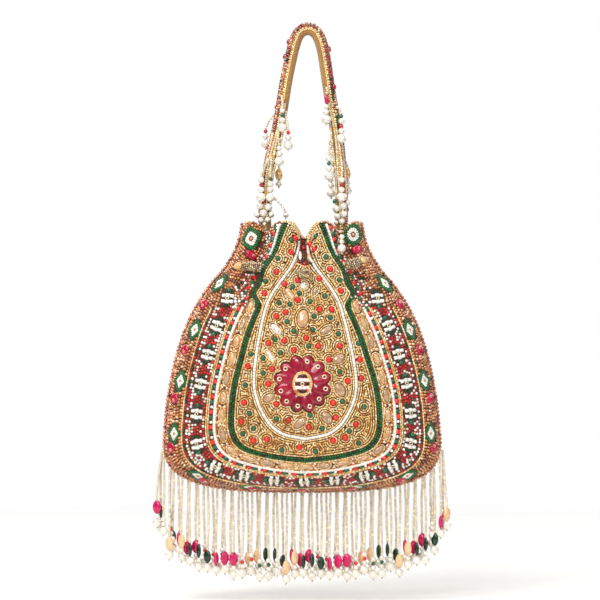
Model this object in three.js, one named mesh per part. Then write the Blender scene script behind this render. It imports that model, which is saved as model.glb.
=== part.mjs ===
// Beaded potli bag: a drawstring pouch of two embroidered panels and a lining, hung from a
// padded bead-covered strap, with bead strands on the strap and a bead fringe on the seam.
// Millimetres, +Z up, front of the bag towards -Y. The origin is under the top of the strap,
// where a hook or a hand carries the bag.

import * as THREE from 'three';

// ---- driving dimensions ----------------------------------------------------------------

// Pouch outline, seen from the front.
const RIM_Z = -140;             // top of the gathered collar
const WIDEST_Z = -302;          // level of the widest section
const BOTTOM_Z = -341;          // bottom seam
const HALF_WIDTH = 103;         // at the widest level
const HALF_DEPTH = 37;
const CORNER_POWER = 3;         // superellipse power of the bottom corners
const CORNER_SHARE = 0.8;       // how far down to the bottom the side edges reach
const BULGE_POWER = 2.2;        // how full the bottom is, seen from the side
const SECTION_POWER = 1.15;     // 1 is an elliptical section, more is leaner at the seams
// [z, half width, half depth] of the upper part, from the rim down
const UPPER_PROFILE = [
  [-140, 44, 24], [-157, 48, 24.5], [-175, 58, 26], [-188, 69, 28], [-209, 82, 31.5],
  [-235, 92, 35], [-270, 99.6, 36.8], [-302, 103, 37],
];

// Pleats of the collar: place across the width (-1 to 1), depth at the rim, how far the rim
// dips there, and the level where the pleat has faded out.
const PLEATS = [
  { across: -0.61, depth: 8, dip: 8, fadeZ: -222 },
  { across: 0.045, depth: 11, dip: 12, fadeZ: -184 },
  { across: 0.66, depth: 8, dip: 8, fadeZ: -222 },
];
const PLEAT_SPREAD = 0.125;
const PLEAT_FULL_Z = -152;

const PANEL_THICKNESS = 2.2;    // cloth, backing and beads
const SEAM_HALF_GAP = 0.2;
const LINING_TOP_Z = -157;
const LINING_INSET = 6.4;       // from the panels' outer face
const LINING_THICKNESS = 1;
const LINING_EDGE = 1.5;        // half width of the lining's folded side and bottom edges

// Grid of the skins: rows run closer together towards the bottom seam.
const PANEL_GRID = { columns: 30, rows: 15 };
const LINING_GRID = { columns: 20, rows: 10 };
const ROW_POWER = 1.25;
const HALVINGS = 30;            // steps of the search for a level on the outline
const TINY = 0.01;              // keeps a width off zero where the outline closes

// Strap
const STRAP_THICKNESS = 9;
const STRAP_WIDTH = 13;
const STRAP_LAYER_GAP = 0.3;
const STRAP_BEVEL = 1.4;
const STRAP_BEND_RADIUS = 6.2;  // of the centre line, at both ends of the flat top
const STRAP_TOP_LEFT = -2;      // ends of the flat top
const STRAP_TOP_RIGHT = 7.5;
const STRAP_LEFT_LEG = [
  [-8.2, -14], [-10.9, -31], [-13.6, -48], [-16.6, -66], [-21.6, -88], [-26, -110],
  [-27.4, -130], [-27, -146],
];
const STRAP_RIGHT_LEG = [
  [15.4, -12], [18, -28], [21, -48], [24.6, -68], [27, -86], [28.7, -108],
  [29.2, -130], [29, -146],
];
const LEG_STATIONS = 15;
const BEND_STATIONS = 5;

// Bead strands
const THREAD_RADIUS = 1.1;
const PEARL_RADIUS = 3;
const STRAND_SIDES = 6;
const BEAD_STEPS = 4;           // facets from a bead's lower to its upper end
const SMALL_PEARLS = { up: 12.6, radius: 1.9, halfHeight: 6 };  // up from the strand's end
const OVAL_BEAD = { up: 12, radius: 3, halfHeight: 5.2 };
const FRINGE_COUNT = 33;
const FRINGE_REACH = 104.5;     // outermost strands, left and right
const FRINGE_LENGTH = 67;
const FRINGE_UNEVEN = 1.5;      // how much the strands' lengths differ from it
const FRINGE_TURN = 2.4;        // radians of the unevenness from one strand to the next
const EDGING = 2;               // bead edging outside the panels' outline
const HINGE_GAP = 0.6;
const KNOT_LENGTH = 0.8;        // taper at the sewn end of a strand

// Drawstring loops: short beaded tubes sewn across the pleats.
// [name, centre x, centre z, length, outer radius, tilt in degrees]
const LOOPS = [
  ['centre', 1.4, -178.4, 10.8, 3.1, 0],
  ['left', -37.5, -173, 15, 3.6, 8],
  ['right', 37.5, -171, 14, 3.6, -18],
];
const LOOP_BORE_RADIUS = 1.7;
const LOOP_SIDES = 12;
const SEWN_CLEARANCE = 0.8;     // from the panel to what is sewn on it
const CLEARANCE_STEPS = 8;      // places looked at on each side of a loop's middle
const CLEARANCE_MARGIN = 1;     // beyond each end of a loop

// ---- materials -------------------------------------------------------------------------

const material = (color, roughness) =>
  new THREE.MeshStandardMaterial({ color, roughness, metalness: 0 });
const beadwork = material(0xc79355, 0.45);
const satin = material(0x8a5a34, 0.6);
const strapCloth = material(0xc99a4c, 0.7);
const strapBeads = material(0xa8734a, 0.4);
const loopBeads = material(0xbdb48c, 0.35);
const strandBeads = material(0xd9cfae, 0.3);

const bag = new THREE.Group();

function addPiece(name, geometry, pieceMaterial) {
  const mesh = new THREE.Mesh(geometry, pieceMaterial);
  mesh.name = name;
  bag.add(mesh);
  return mesh;
}

// ---- closed meshes from rings of points ------------------------------------------------

function quad(out, a, b, c, d) {
  out.push(a, b, c, a, c, d);
}

// Wall between successive rings; every ring closes on itself.
function wall(out, rings) {
  for (let i = 0; i + 1 < rings.length; i += 1) {
    const upper = rings[i];
    const lower = rings[i + 1];
    for (let k = 0; k < upper.length; k += 1) {
      const next = (k + 1) % upper.length;
      quad(out, upper[k], upper[next], lower[next], lower[k]);
    }
  }
}

// A ring that runs out along one line and back along another is closed by a strip.
function stripCap(out, ring, isFirst) {
  const last = ring.length - 1;
  for (let k = 0; k < ring.length / 2 - 1; k += 1) {
    const corners = [ring[k], ring[k + 1], ring[last - k - 1], ring[last - k]];
    if (isFirst) {
      quad(out, corners[1], corners[0], corners[3], corners[2]);
    } else {
      quad(out, ...corners);
    }
  }
}

function solidFrom(points) {
  let volume = 0;
  for (let i = 0; i < points.length; i += 3) {
    const [a, b, c] = [points[i], points[i + 1], points[i + 2]];
    volume += a.dot(new THREE.Vector3().crossVectors(b, c));
  }
  const ordered = volume > 0 ? points : points.slice().reverse();
  const geometry = new THREE.BufferGeometry();
  geometry.setFromPoints(ordered);
  geometry.computeVertexNormals();
  return geometry;
}

function loft(rings) {
  const out = [];
  wall(out, rings);
  stripCap(out, rings[0], true);
  stripCap(out, rings[rings.length - 1], false);
  return solidFrom(out);
}

// ---- the pouch's surface ---------------------------------------------------------------

const smooth = (t) => {
  const clamped = Math.min(1, Math.max(0, t));
  return clamped * clamped * (3 - 2 * clamped);
};

const upperCurve = new THREE.CatmullRomCurve3(
  UPPER_PROFILE.map(([z, width, depth]) => new THREE.Vector3(width, depth, z)),
);

// Half width and half depth at a level, for a skin inset from the outer face.
function profile(z, inset) {
  if (z < WIDEST_Z) {
    const drop = Math.min(1, (WIDEST_Z - z) / (WIDEST_Z - BOTTOM_Z - inset));
    return {
      width: (HALF_WIDTH - inset) * (1 - drop ** CORNER_POWER) ** (1 / CORNER_POWER),
      depth: (HALF_DEPTH - inset) * (1 - drop ** BULGE_POWER) ** (1 / BULGE_POWER),
    };
  }
  let low = 0;
  let high = 1;
  for (let i = 0; i < HALVINGS; i += 1) {
    const middle = (low + high) / 2;
    if (upperCurve.getPoint(middle).z > z) {
      low = middle;
    } else {
      high = middle;
    }
  }
  const point = upperCurve.getPoint(low);
  return { width: point.x - inset, depth: point.y - inset };
}

// Level of the bottom seam below a place x of an outline of the given half width.
function seamLevel(x, halfWidth, bottomZ) {
  const share = Math.min(1, Math.abs(x) / halfWidth);
  return WIDEST_Z - (WIDEST_Z - bottomZ) * (1 - share ** CORNER_POWER) ** (1 / CORNER_POWER);
}

function pleatShare(pleat, across) {
  return Math.exp(-(((across - pleat.across) / PLEAT_SPREAD) ** 2));
}

function rimLevel(across) {
  const dips = PLEATS.map((pleat) => pleat.dip * pleatShare(pleat, across));
  return RIM_Z - dips.reduce((sum, dip) => sum + dip, 0);
}

// How far the front stands out from the seam plane, for a skin inset from the outer face.
function standOut(x, z, inset) {
  const { width, depth } = profile(z, inset);
  const across = Math.min(1, Math.abs(x) / Math.max(width, TINY));
  let reach = depth * (1 - across * across) ** (SECTION_POWER / 2);
  for (const pleat of PLEATS) {
    const strength = smooth((z - pleat.fadeZ) / (PLEAT_FULL_Z - pleat.fadeZ));
    reach -= pleat.depth * strength * pleatShare(pleat, x / (width + inset + TINY));
  }
  return Math.max(reach, 0);
}

// Point of a skin: across from -1 to 1, down from 0 at the top to 1 at the bottom seam. The
// side edges end and the bottom edge begins at the rounded corners.
function skinPoint(across, down, inset, topLevel) {
  const bottomZ = BOTTOM_Z + inset;
  const cornerZ = WIDEST_Z - CORNER_SHARE * (WIDEST_Z - bottomZ);
  const sideZ = topLevel(across) + (cornerZ - topLevel(across)) * down;
  const x = across * profile(sideZ, inset).width;
  const bottomX = across * profile(cornerZ, inset).width;
  const bottom = seamLevel(bottomX, HALF_WIDTH - inset, bottomZ);
  const z = topLevel(across) + (bottom - topLevel(across)) * down;
  return new THREE.Vector3(x, -standOut(x, z, inset), z);
}

function skinRow(row, { columns, rows }, inset, topLevel, edge) {
  const down = 1 - (1 - row / rows) ** ROW_POWER;
  const points = [];
  for (let k = 0; k <= columns; k += 1) {
    const across = Math.sin((Math.PI / 2) * ((2 * k) / columns - 1));
    const point = skinPoint(across, down, inset, topLevel);
    point.y -= edge;
    points.push(point);
  }
  return points;
}

const mirrored = (point) => new THREE.Vector3(point.x, -point.y, point.z);

function frontPanelRings() {
  const rings = [];
  for (let row = 0; row <= PANEL_GRID.rows; row += 1) {
    const outer = skinRow(row, PANEL_GRID, 0, rimLevel, SEAM_HALF_GAP);
    const inner = skinRow(row, PANEL_GRID, PANEL_THICKNESS, rimLevel, SEAM_HALF_GAP);
    rings.push([...outer, ...inner.reverse()]);
  }
  return rings;
}

addPiece('panel_front', loft(frontPanelRings()), beadwork);
addPiece('panel_back', loft(frontPanelRings().map((ring) => ring.map(mirrored))), beadwork);

// ---- lining: one sack of satin with an open mouth --------------------------------------

function liningRings(inset) {
  const edge = LINING_EDGE - (inset - LINING_INSET);
  const rings = [];
  for (let row = 0; row <= LINING_GRID.rows; row += 1) {
    const front = skinRow(row, LINING_GRID, inset, () => LINING_TOP_Z, edge);
    const back = front.map(mirrored);
    rings.push([...front, ...back.reverse()]);
  }
  return rings;
}

function lining() {
  const outer = liningRings(LINING_INSET);
  const inner = liningRings(LINING_INSET + LINING_THICKNESS);
  const out = [];
  wall(out, outer);
  stripCap(out, outer[LINING_GRID.rows], false);
  const inside = [];
  wall(inside, inner);
  stripCap(inside, inner[LINING_GRID.rows], false);
  out.push(...inside.reverse());
  wall(out, [inner[0], outer[0]]);
  return solidFrom(out);
}

addPiece('lining', lining(), satin);

// ---- strap -----------------------------------------------------------------------------

function bend(centreX, fromAngle, toAngle) {
  const centreZ = STRAP_THICKNESS / 2 - STRAP_BEND_RADIUS;
  const points = [];
  for (let i = 0; i <= BEND_STATIONS; i += 1) {
    const angle = fromAngle + ((toAngle - fromAngle) * i) / BEND_STATIONS;
    points.push({
      x: centreX + STRAP_BEND_RADIUS * Math.cos(angle),
      z: centreZ + STRAP_BEND_RADIUS * Math.sin(angle),
      nx: Math.cos(angle),
      nz: Math.sin(angle),
    });
  }
  return points;
}

// Stations down one leg, with the outward direction at each.
function leg(points, side) {
  const start = side < 0 ? STRAP_TOP_LEFT : STRAP_TOP_RIGHT;
  const top = new THREE.Vector3(
    start + side * STRAP_BEND_RADIUS, 0, STRAP_THICKNESS / 2 - STRAP_BEND_RADIUS,
  );
  const curve = new THREE.CatmullRomCurve3(
    [top, ...points.map(([x, z]) => new THREE.Vector3(x, 0, z))],
  );
  const stations = [];
  for (let i = 1; i <= LEG_STATIONS; i += 1) {
    const point = curve.getPointAt(i / LEG_STATIONS);
    const tangent = curve.getTangentAt(i / LEG_STATIONS);
    stations.push({
      x: point.x, z: point.z, nx: -side * tangent.z, nz: side * tangent.x,
    });
  }
  return stations;
}

const strapStations = [
  ...leg(STRAP_LEFT_LEG, -1).reverse(),
  ...bend(STRAP_TOP_LEFT, Math.PI, Math.PI / 2),
  ...bend(STRAP_TOP_RIGHT, Math.PI / 2, 0),
  ...leg(STRAP_RIGHT_LEG, 1),
];

// One layer of the strap, between two offsets from the centre line; the far side is bevelled.
function strapLayer(near, far) {
  const half = STRAP_WIDTH / 2;
  const bevel = Math.sign(far - near) * STRAP_BEVEL;
  const section = [
    [near, -half], [far - bevel, -half], [far, -half + STRAP_BEVEL],
    [far, half - STRAP_BEVEL], [far - bevel, half], [near, half],
  ];
  const rings = strapStations.map(({ x, z, nx, nz }) => section.map(
    ([offset, y]) => new THREE.Vector3(x + nx * offset, y, z + nz * offset),
  ));
  return loft(rings);
}

addPiece('strap_backing', strapLayer(-STRAP_LAYER_GAP / 2, -STRAP_THICKNESS / 2), strapCloth);
addPiece('strap_bead_face', strapLayer(STRAP_LAYER_GAP / 2, STRAP_THICKNESS / 2), strapBeads);

// ---- drawstring loops on both faces ----------------------------------------------------

function loopTube(length, radius) {
  const half = length / 2;
  const profilePoints = [
    [LOOP_BORE_RADIUS, -half], [radius, -half], [radius, half], [LOOP_BORE_RADIUS, half],
    [LOOP_BORE_RADIUS, -half],
  ].map(([r, along]) => new THREE.Vector2(r, along));
  return new THREE.LatheGeometry(profilePoints, LOOP_SIDES).rotateZ(Math.PI / 2);
}

// Distance of a tube's axis from the seam plane, so that the tube clears every fold.
function clearOf(x, z, length, radius) {
  const half = length / 2 + CLEARANCE_MARGIN;
  let reach = 0;
  for (let i = -CLEARANCE_STEPS; i <= CLEARANCE_STEPS; i += 1) {
    for (const dz of [-radius, 0, radius]) {
      reach = Math.max(reach, standOut(x + (half * i) / CLEARANCE_STEPS, z + dz, 0));
    }
  }
  return reach + radius + SEWN_CLEARANCE;
}

for (const face of ['front', 'back']) {
  const side = face === 'front' ? -1 : 1;
  for (const [place, x, z, length, radius, tilt] of LOOPS) {
    const loop = addPiece(`loop_${face}_${place}`, loopTube(length, radius), loopBeads);
    loop.rotation.y = THREE.MathUtils.degToRad(tilt);
    loop.position.set(x, side * clearOf(x, z, length, radius), z);
  }
}

// ---- bead strands ----------------------------------------------------------------------

// Half circle of a bead on the strand, from its lower to its upper end.
function beadProfile(centreZ, radius, halfHeight) {
  const points = [];
  for (let i = 1; i < BEAD_STEPS; i += 1) {
    const angle = (Math.PI * i) / BEAD_STEPS;
    const r = Math.max(THREAD_RADIUS, radius * Math.sin(angle));
    points.push([r, centreZ - halfHeight * Math.cos(angle)]);
  }
  return points;
}

// A strand that hangs from z = 0: thread of small beads, larger beads, and an end pearl.
function strand(length, beads) {
  const end = beadProfile(-length + PEARL_RADIUS, PEARL_RADIUS, PEARL_RADIUS);
  const points = [[0, -length], ...end];
  for (const { up, radius, halfHeight } of beads) {
    points.push(...beadProfile(-length + up, radius, halfHeight));
  }
  points.push([THREAD_RADIUS, -HINGE_GAP - KNOT_LENGTH], [0, -HINGE_GAP]);
  const outline = points.map(([r, z]) => new THREE.Vector2(r, z));
  return new THREE.LatheGeometry(outline, STRAND_SIDES).rotateX(Math.PI / 2);
}

// Fringe: every third strand carries a run of small pearls, the others a flat oval bead.
for (let i = 0; i < FRINGE_COUNT; i += 1) {
  const x = FRINGE_REACH * ((2 * i) / (FRINGE_COUNT - 1) - 1);
  const length = FRINGE_LENGTH + FRINGE_UNEVEN * Math.sin(i * FRINGE_TURN);
  const beads = i % 3 === 1 ? [SMALL_PEARLS] : [OVAL_BEAD];
  const name = `fringe_${String(i + 1).padStart(2, '0')}`;
  const mesh = addPiece(name, strand(length, beads), strandBeads);
  mesh.position.set(x, 0, seamLevel(x, HALF_WIDTH + EDGING, BOTTOM_Z - EDGING));
}

// Strap strands: [x, top z, length], beside the strap's front (-1) or back (1) edge.
const STRAP_STRANDS = {
  left: [
    [-14.8, -44, 30, -1], [-10.2, -56, 31, -1], [-24, -54, 31, 1], [-16.9, -76, 23, -1],
    [-17.4, -80, 34, 1], [-30.6, -92, 34, -1], [-23.6, -90, 36, -1],
  ],
  right: [
    [20.2, -38, 30, -1], [29.4, -52, 30, -1], [23.4, -64, 34, 1], [20.2, -78, 32, -1],
    [34, -86, 34, 1], [22, -98, 24, 1], [29.6, -90, 36, -1],
  ],
};
const STRAND_CLEARANCE = 0.5;
const STRAND_STANDOFF = STRAP_WIDTH / 2 + PEARL_RADIUS + STRAND_CLEARANCE;

for (const [legSide, strands] of Object.entries(STRAP_STRANDS)) {
  strands.forEach(([x, z, length, side], i) => {
    const name = `strap_strand_${legSide}_${i + 1}`;
    addPiece(name, strand(length, [SMALL_PEARLS]), strandBeads)
      .position.set(x, side * STRAND_STANDOFF, z);
  });
}

// One short strand is sewn into the right front pleat of the collar.
const COLLAR_STRAND = { x: 29.6, topZ: -148, length: 16, overLength: 4, clearance: 1.5 };
const collarMiddleZ = COLLAR_STRAND.topZ - COLLAR_STRAND.length / 2;
const collarReach = clearOf(
  COLLAR_STRAND.x, collarMiddleZ, COLLAR_STRAND.overLength, PEARL_RADIUS,
);
addPiece('collar_strand', strand(COLLAR_STRAND.length, []), strandBeads)
  .position.set(COLLAR_STRAND.x, -collarReach - COLLAR_STRAND.clearance, COLLAR_STRAND.topZ);

export default bag;
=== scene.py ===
"""Looks of a beaded potli bag: two embroidered panels, a satin lining, a bead-covered strap,
drawstring loops, and strands of beads on the strap and along the bottom seam.

Lengths are millimetres until a mesh is made. +Z is up, and the front of the bag faces -Y.
"""
import copy
import math

import bpy
import numpy as np
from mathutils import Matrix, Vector


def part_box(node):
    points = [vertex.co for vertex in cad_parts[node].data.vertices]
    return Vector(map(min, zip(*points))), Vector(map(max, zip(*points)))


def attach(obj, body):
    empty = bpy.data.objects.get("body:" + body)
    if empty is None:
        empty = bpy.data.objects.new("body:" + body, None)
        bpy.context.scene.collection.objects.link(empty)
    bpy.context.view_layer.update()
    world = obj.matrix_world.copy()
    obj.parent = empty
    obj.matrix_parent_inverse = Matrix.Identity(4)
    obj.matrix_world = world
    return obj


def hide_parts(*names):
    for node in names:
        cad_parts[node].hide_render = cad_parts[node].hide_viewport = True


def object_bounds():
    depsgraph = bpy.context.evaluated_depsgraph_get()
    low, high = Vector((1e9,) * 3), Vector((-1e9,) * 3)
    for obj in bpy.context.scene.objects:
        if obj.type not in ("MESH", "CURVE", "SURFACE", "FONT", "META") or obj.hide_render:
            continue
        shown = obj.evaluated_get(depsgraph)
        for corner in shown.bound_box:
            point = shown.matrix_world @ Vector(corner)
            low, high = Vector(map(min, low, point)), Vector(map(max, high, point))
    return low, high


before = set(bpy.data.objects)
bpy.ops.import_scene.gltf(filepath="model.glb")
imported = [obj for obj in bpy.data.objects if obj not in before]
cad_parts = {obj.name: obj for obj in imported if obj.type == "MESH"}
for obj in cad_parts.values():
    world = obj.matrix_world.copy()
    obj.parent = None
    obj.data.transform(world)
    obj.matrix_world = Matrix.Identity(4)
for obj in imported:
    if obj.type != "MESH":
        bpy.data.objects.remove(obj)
CAD_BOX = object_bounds()
MM = 0.001
FRONT, BACK = -1, 1
UP, SIDEWAYS = np.array([0, 0, 1.0]), np.array([1.0, 0, 0])
RANDOM = np.random.default_rng(23)

# ---- the bag's own dimensions, as in the CAD model

RIM_Z, WIDEST_Z, BOTTOM_Z = -140.0, -302.0, -341.0
HALF_WIDTH, HALF_DEPTH = 103.0, 37.0
CORNER_POWER, BULGE_POWER, SECTION_POWER = 3.0, 2.2, 1.15
CORNER_SHARE = 0.8
UPPER_PROFILE = [
    (-140, 44, 24), (-157, 48, 24.5), (-175, 58, 26), (-188, 69, 28), (-209, 82, 31.5),
    (-235, 92, 35), (-270, 99.6, 36.8), (-302, 103, 37),
]
# Pleats of the collar: place across, depth at the rim, dip of the rim, level where it fades out.
PLEATS = [(-0.61, 8, 8, -222), (0.045, 11, 12, -184), (0.66, 8, 8, -222)]
PLEAT_SPREAD, PLEAT_FULL_Z = 0.125, -152.0
SEAM_HALF_GAP = 0.2
PANEL_THICKNESS = 2.2
LINING_TOP_Z, LINING_INSET, LINING_THICKNESS, LINING_EDGE = -157.0, 6.4, 1.0, 1.5
BEAD_DEPTH = 0.9          # the cloth lies this far under the panel's outer face

STRAP_THICKNESS, STRAP_WIDTH = 9.0, 13.0
# Centre line of the strap, x and z, from the left foot over the top to the right foot
STRAP_PATH = [
    (-27, -146), (-27.4, -130), (-26, -110), (-21.6, -88), (-16.6, -66), (-13.6, -48),
    (-10.8, -31), (-7.4, -15), (-5.5, -7.4), (-2.8, 0.2), (0.3, 3.6), (4.2, 4.9), (8.3, 3.7),
    (11.5, 0.2), (14.4, -7.4), (16, -15), (18, -28), (21, -48), (24.6, -68), (27, -86),
    (28.7, -108), (29.2, -130), (29, -146),
]
# Drawstring loops: centre x, centre z, length, outer radius, tilt in degrees
LOOPS = {
    "centre": (1.4, -178.4, 10.8, 3.1, 0),
    "left": (-37.5, -173, 15, 3.6, 8),
    "right": (37.5, -171, 14, 3.6, -18),
}
LOOP_BORE = 1.7

# ---- the embroidery's layout

SAG_FADE_Z = -186.0       # below this the pleats no longer pull the pattern down
# Green outline of the shield, as half widths at levels, from the bottom up
GREEN_LINE = [
    (0, -316.9), (21.7, -314.6), (36, -311.6), (45.8, -308), (51.7, -302), (54.8, -293),
    (54.9, -280), (53.7, -268), (51.5, -257), (47.5, -243), (43, -227.5), (39.2, -217),
    (35.2, -207.5), (33.2, -202), (35.4, -198), (37.3, -192.5), (33, -185), (31.5, -178),
    (28.1, -171), (23.8, -165), (20.3, -158), (17, -149), (13.7, -141.2),
]
# White line inside it
WHITE_LINE = [
    (0, -300.75), (17, -297), (25.5, -291), (31.2, -283), (35.3, -274), (37.8, -264),
    (37.9, -255), (36.4, -242), (33, -224), (30.5, -213), (27, -201), (22.5, -192),
    (14, -180), (8.4, -172), (4.8, -162), (3.4, -154), (2.9, -147),
]
RECESS_Z = -169.0         # above it the white lines edge the deep middle pleat
RECESS_X, RECESS_TOP = 1.4, -152.0
# Beads sunk in that pleat: x, z, angle, half length, half width, form, material, colour
RECESS_BEADS = [
    (-0.6, -164.4, 75, 3.8, 1.5, "stone", "pearl", "white"),
    (1.6, -158.6, 0, 2.0, 2.0, "round", "glass", "garnet"),
    (4.6, -165.4, 100, 3.2, 1.6, "stone", "shell", "peach_stone"),
    (7.0, -170.4, 0, 1.6, 1.6, "round", "glass", "bottle"),
    (-4.2, -168.8, 60, 2.8, 1.5, "stone", "shell", "smoky"),
    (2.2, -170.4, 0, 1.7, 1.7, "round", "glass", "garnet"),
]
# Places of the green line and of the bag's outline that the border's rays join
RAYS = [
    ((0, -316.9), (0, -341)), ((21.7, -314.6), (38, -340.4)), ((45.8, -308), (86, -331)),
    ((54.8, -293), (103, -303)), ((53.7, -268), (99.5, -270)), ((43, -227.5), (89, -228)),
    ((35.2, -207.5), (81, -207)), ((33.2, -202), (77, -200)), ((33, -185), (66, -184)),
    ((20.3, -158), (48.5, -158)), ((13.7, -141.2), (44, -140)),
]
NOTCH_Z = -203.0          # above it the border is collar, with no stone band
GOLD_PITCH = 1.75         # between rows of gold bugles
RED_RADIUS, GREEN_RADIUS = 2.2, 1.85    # round beads of the shield
ROUND_RED = [
    (-5, -150), (-8, -162), (-19, -177), (6, -150), (9, -158), (21, -175), (-28, -193),
    (-13, -186), (-3, -183), (13, -182), (29, -191), (-3, -198), (-12, -207), (-19, -210),
    (13, -205), (22, -205), (-13, -228), (3, -226), (-25, -230), (12, -232), (28, -232),
    (-6, -235), (20, -242), (-22, -249), (-40, -247), (43, -242), (-25, -260), (-19, -275),
    (-10, -287), (5, -292), (23, -274), (25, -285), (34, -258), (-43, -274), (-45, -288),
    (-36, -302), (-26, -301), (-2, -307), (23, -302), (40, -290), (32, -300), (44, -256),
]
ROUND_GREEN = [
    (-8, -153), (-18, -167), (10, -149), (18, -166), (-27, -184), (28, -183), (-7, -188),
    (-2, -193), (17, -195), (-17, -200), (6, -199), (-9, -201), (-11, -214), (9, -210),
    (21, -211), (-6, -221), (8, -220), (-20, -227), (5, -232), (27, -223), (-16, -237),
    (-29, -241), (-38, -238), (42, -230), (-29, -252), (28, -251), (-42, -261), (-19, -286),
    (6, -283), (15, -293), (30, -273), (-39, -282), (-44, -297), (-36, -293), (-15, -309),
    (10, -310), (35, -295), (42, -304), (46, -277),
]
# Sewn stones of the shield: x, z, angle, half length, half width, kind
STONES = [
    (1.3, -187, 0, 3, 3, "white"), (-9.2, -193.5, -55, 5.8, 2.9, "peach"),
    (10, -191, 60, 4.2, 1.9, "smoky"), (0.5, -211.6, 80, 7.2, 4.6, "peach"),
    (-19.2, -219.6, -45, 5.6, 3, "white"), (18.1, -220.2, 30, 5.4, 2.6, "smoky"),
    (-23.5, -239.4, -50, 5.4, 2, "white"), (27.3, -241.5, 30, 5.6, 3.3, "smoky"),
    (-24.7, -270.3, 30, 4.8, 3.2, "smoky"), (-1.4, -288.9, 40, 6, 3, "smoky"),
    (28.4, -264.3, -60, 5.8, 3.8, "smoky"), (18.4, -285.2, -50, 5.4, 3.8, "smoky"),
]
FLOWER = (0.3, -260.0)
PETALS, PETAL_REACH, PETAL_HALF_LENGTH, PETAL_HALF_WIDTH = 12, 13.9, 7.4, 5.1
BARE_PETAL = 3            # the one without an eyelet
EYE_HALF_WIDTH, EYE_HALF_HEIGHT = 5.4, 7.2

# ---- colours

COLOURS = {
    "gold": (0.96, 0.80, 0.53), "cream": (1.0, 0.93, 0.78), "amber": (0.80, 0.55, 0.28),
    "copper": (0.84, 0.52, 0.29), "peach": (0.97, 0.77, 0.60), "brown": (0.56, 0.28, 0.13),
    "ground": (0.44, 0.27, 0.10), "shadow": (0.24, 0.13, 0.05), "coral": (0.88, 0.13, 0.10),
    "garnet": (0.70, 0.06, 0.11), "petal": (0.60, 0.01, 0.18), "magenta": (0.74, 0.02, 0.24),
    "fuchsia": (0.84, 0.02, 0.38), "emerald": (0.02, 0.38, 0.25), "green": (0.03, 0.40, 0.17),
    "bottle": (0.01, 0.22, 0.10), "white": (0.98, 0.97, 0.95), "black": (0.02, 0.04, 0.03),
    "pearl": (0.93, 0.91, 0.87), "champagne": (0.88, 0.83, 0.71), "blush": (0.93, 0.86, 0.82),
    "smoky": (0.78, 0.64, 0.50), "peach_stone": (0.90, 0.72, 0.53),
    "peach_glass": (0.94, 0.78, 0.60), "sage": (0.68, 0.60, 0.42),
    "fabric": (0.84, 0.66, 0.38), "fabric_shade": (0.62, 0.44, 0.20),
    "satin": (0.62, 0.40, 0.22), "satin_shade": (0.34, 0.19, 0.09),
}
LINED = ("copper", "peach", "brown", "gold", "cream")     # the silver-lined ones


def linear(*names):
    """Named colours as rows of linear red, green and blue."""
    return np.array([COLOURS[name] for name in names]) ** 2.2


def choose(count, options, spread=0.12):
    """Random colours from named ones with their shares, and which of them are silver-lined."""
    names = list(options)
    shares = np.array(list(options.values()), float)
    picked = RANDOM.choice(len(names), count, p=shares / shares.sum())
    change = 1 + spread * RANDOM.standard_normal((count, 1))
    return linear(*names)[picked] * change.clip(0.5, 1.5), np.isin(np.array(names)[picked], LINED)


def mixed(count, options, spread=0.1):
    """Random colours only."""
    return choose(count, options, spread)[0]


# ---- small maths

def smooth(t):
    """Rises from 0 to 1 with level ends."""
    t = np.clip(t, 0, 1)
    return t * t * (3 - 2 * t)


def unit(vectors):
    """Vectors at length one."""
    return vectors / np.maximum(np.linalg.norm(vectors, axis=-1, keepdims=True), 1e-9)


def catmull_rom(points, steps):
    """Centripetal Catmull-Rom spline through points, with a number of steps on each span."""
    points = np.asarray(points, float)
    longer = np.vstack([2 * points[0] - points[1], points, 2 * points[-1] - points[-2]])
    out = []
    for p in (longer[i:i + 4] for i in range(len(points) - 1)):
        t = np.concatenate([[0], np.cumsum(np.linalg.norm(np.diff(p, axis=0), axis=1) ** 0.5)])
        u = np.linspace(t[1], t[2], steps, endpoint=False)[:, None]

        def blend(a, b, start, end):
            return ((t[end] - u) * a + (u - t[start]) * b) / (t[end] - t[start])

        a, b, c = (blend(p[k], p[k + 1], k, k + 1) for k in range(3))
        out.append(blend(blend(a, b, 0, 2), blend(b, c, 1, 3), 1, 2))
    return np.vstack([*out, points[-1:]])


def lengths_along(points):
    """Length along a line at each of its points."""
    steps = np.linalg.norm(np.diff(points, axis=0), axis=1)
    return np.concatenate([[0], np.cumsum(steps)])


def at_lengths(points, along, wanted):
    """Points of a line at wanted lengths."""
    return np.stack([np.interp(wanted, along, points[:, k]) for k in range(points.shape[1])], 1)


def evenly(line, pitch, offset=0.5, least=1):
    """Even spots along a line, their lengths along it, and the lengths of its own points."""
    along = lengths_along(line)
    count = max(least, int(round(along[-1] / pitch)))
    wanted = (np.arange(count) + offset) / count * along[-1]
    return at_lengths(line, along, wanted), wanted, along


def left_of(ahead):
    """Directions turned a quarter to the left."""
    return np.stack([-ahead[:, 1], ahead[:, 0]], 1)


def in_space(flat, y=0.0):
    """Spots or directions (x, z) as rows of x, y and z."""
    return np.insert(flat, 1, y, axis=1)


def grid_quads(rows, columns, closed=False):
    """Quads of a grid of points, row by row; closed joins each row's ends."""
    return np.array([
        (r * columns + c, r * columns + (c + 1) % columns,
         (r + 1) * columns + (c + 1) % columns, (r + 1) * columns + c)
        for r in range(rows - 1) for c in range(columns if closed else columns - 1)
    ])


# ---- the panels' surface

PROFILE = catmull_rom(UPPER_PROFILE, 24)[::-1]


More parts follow.
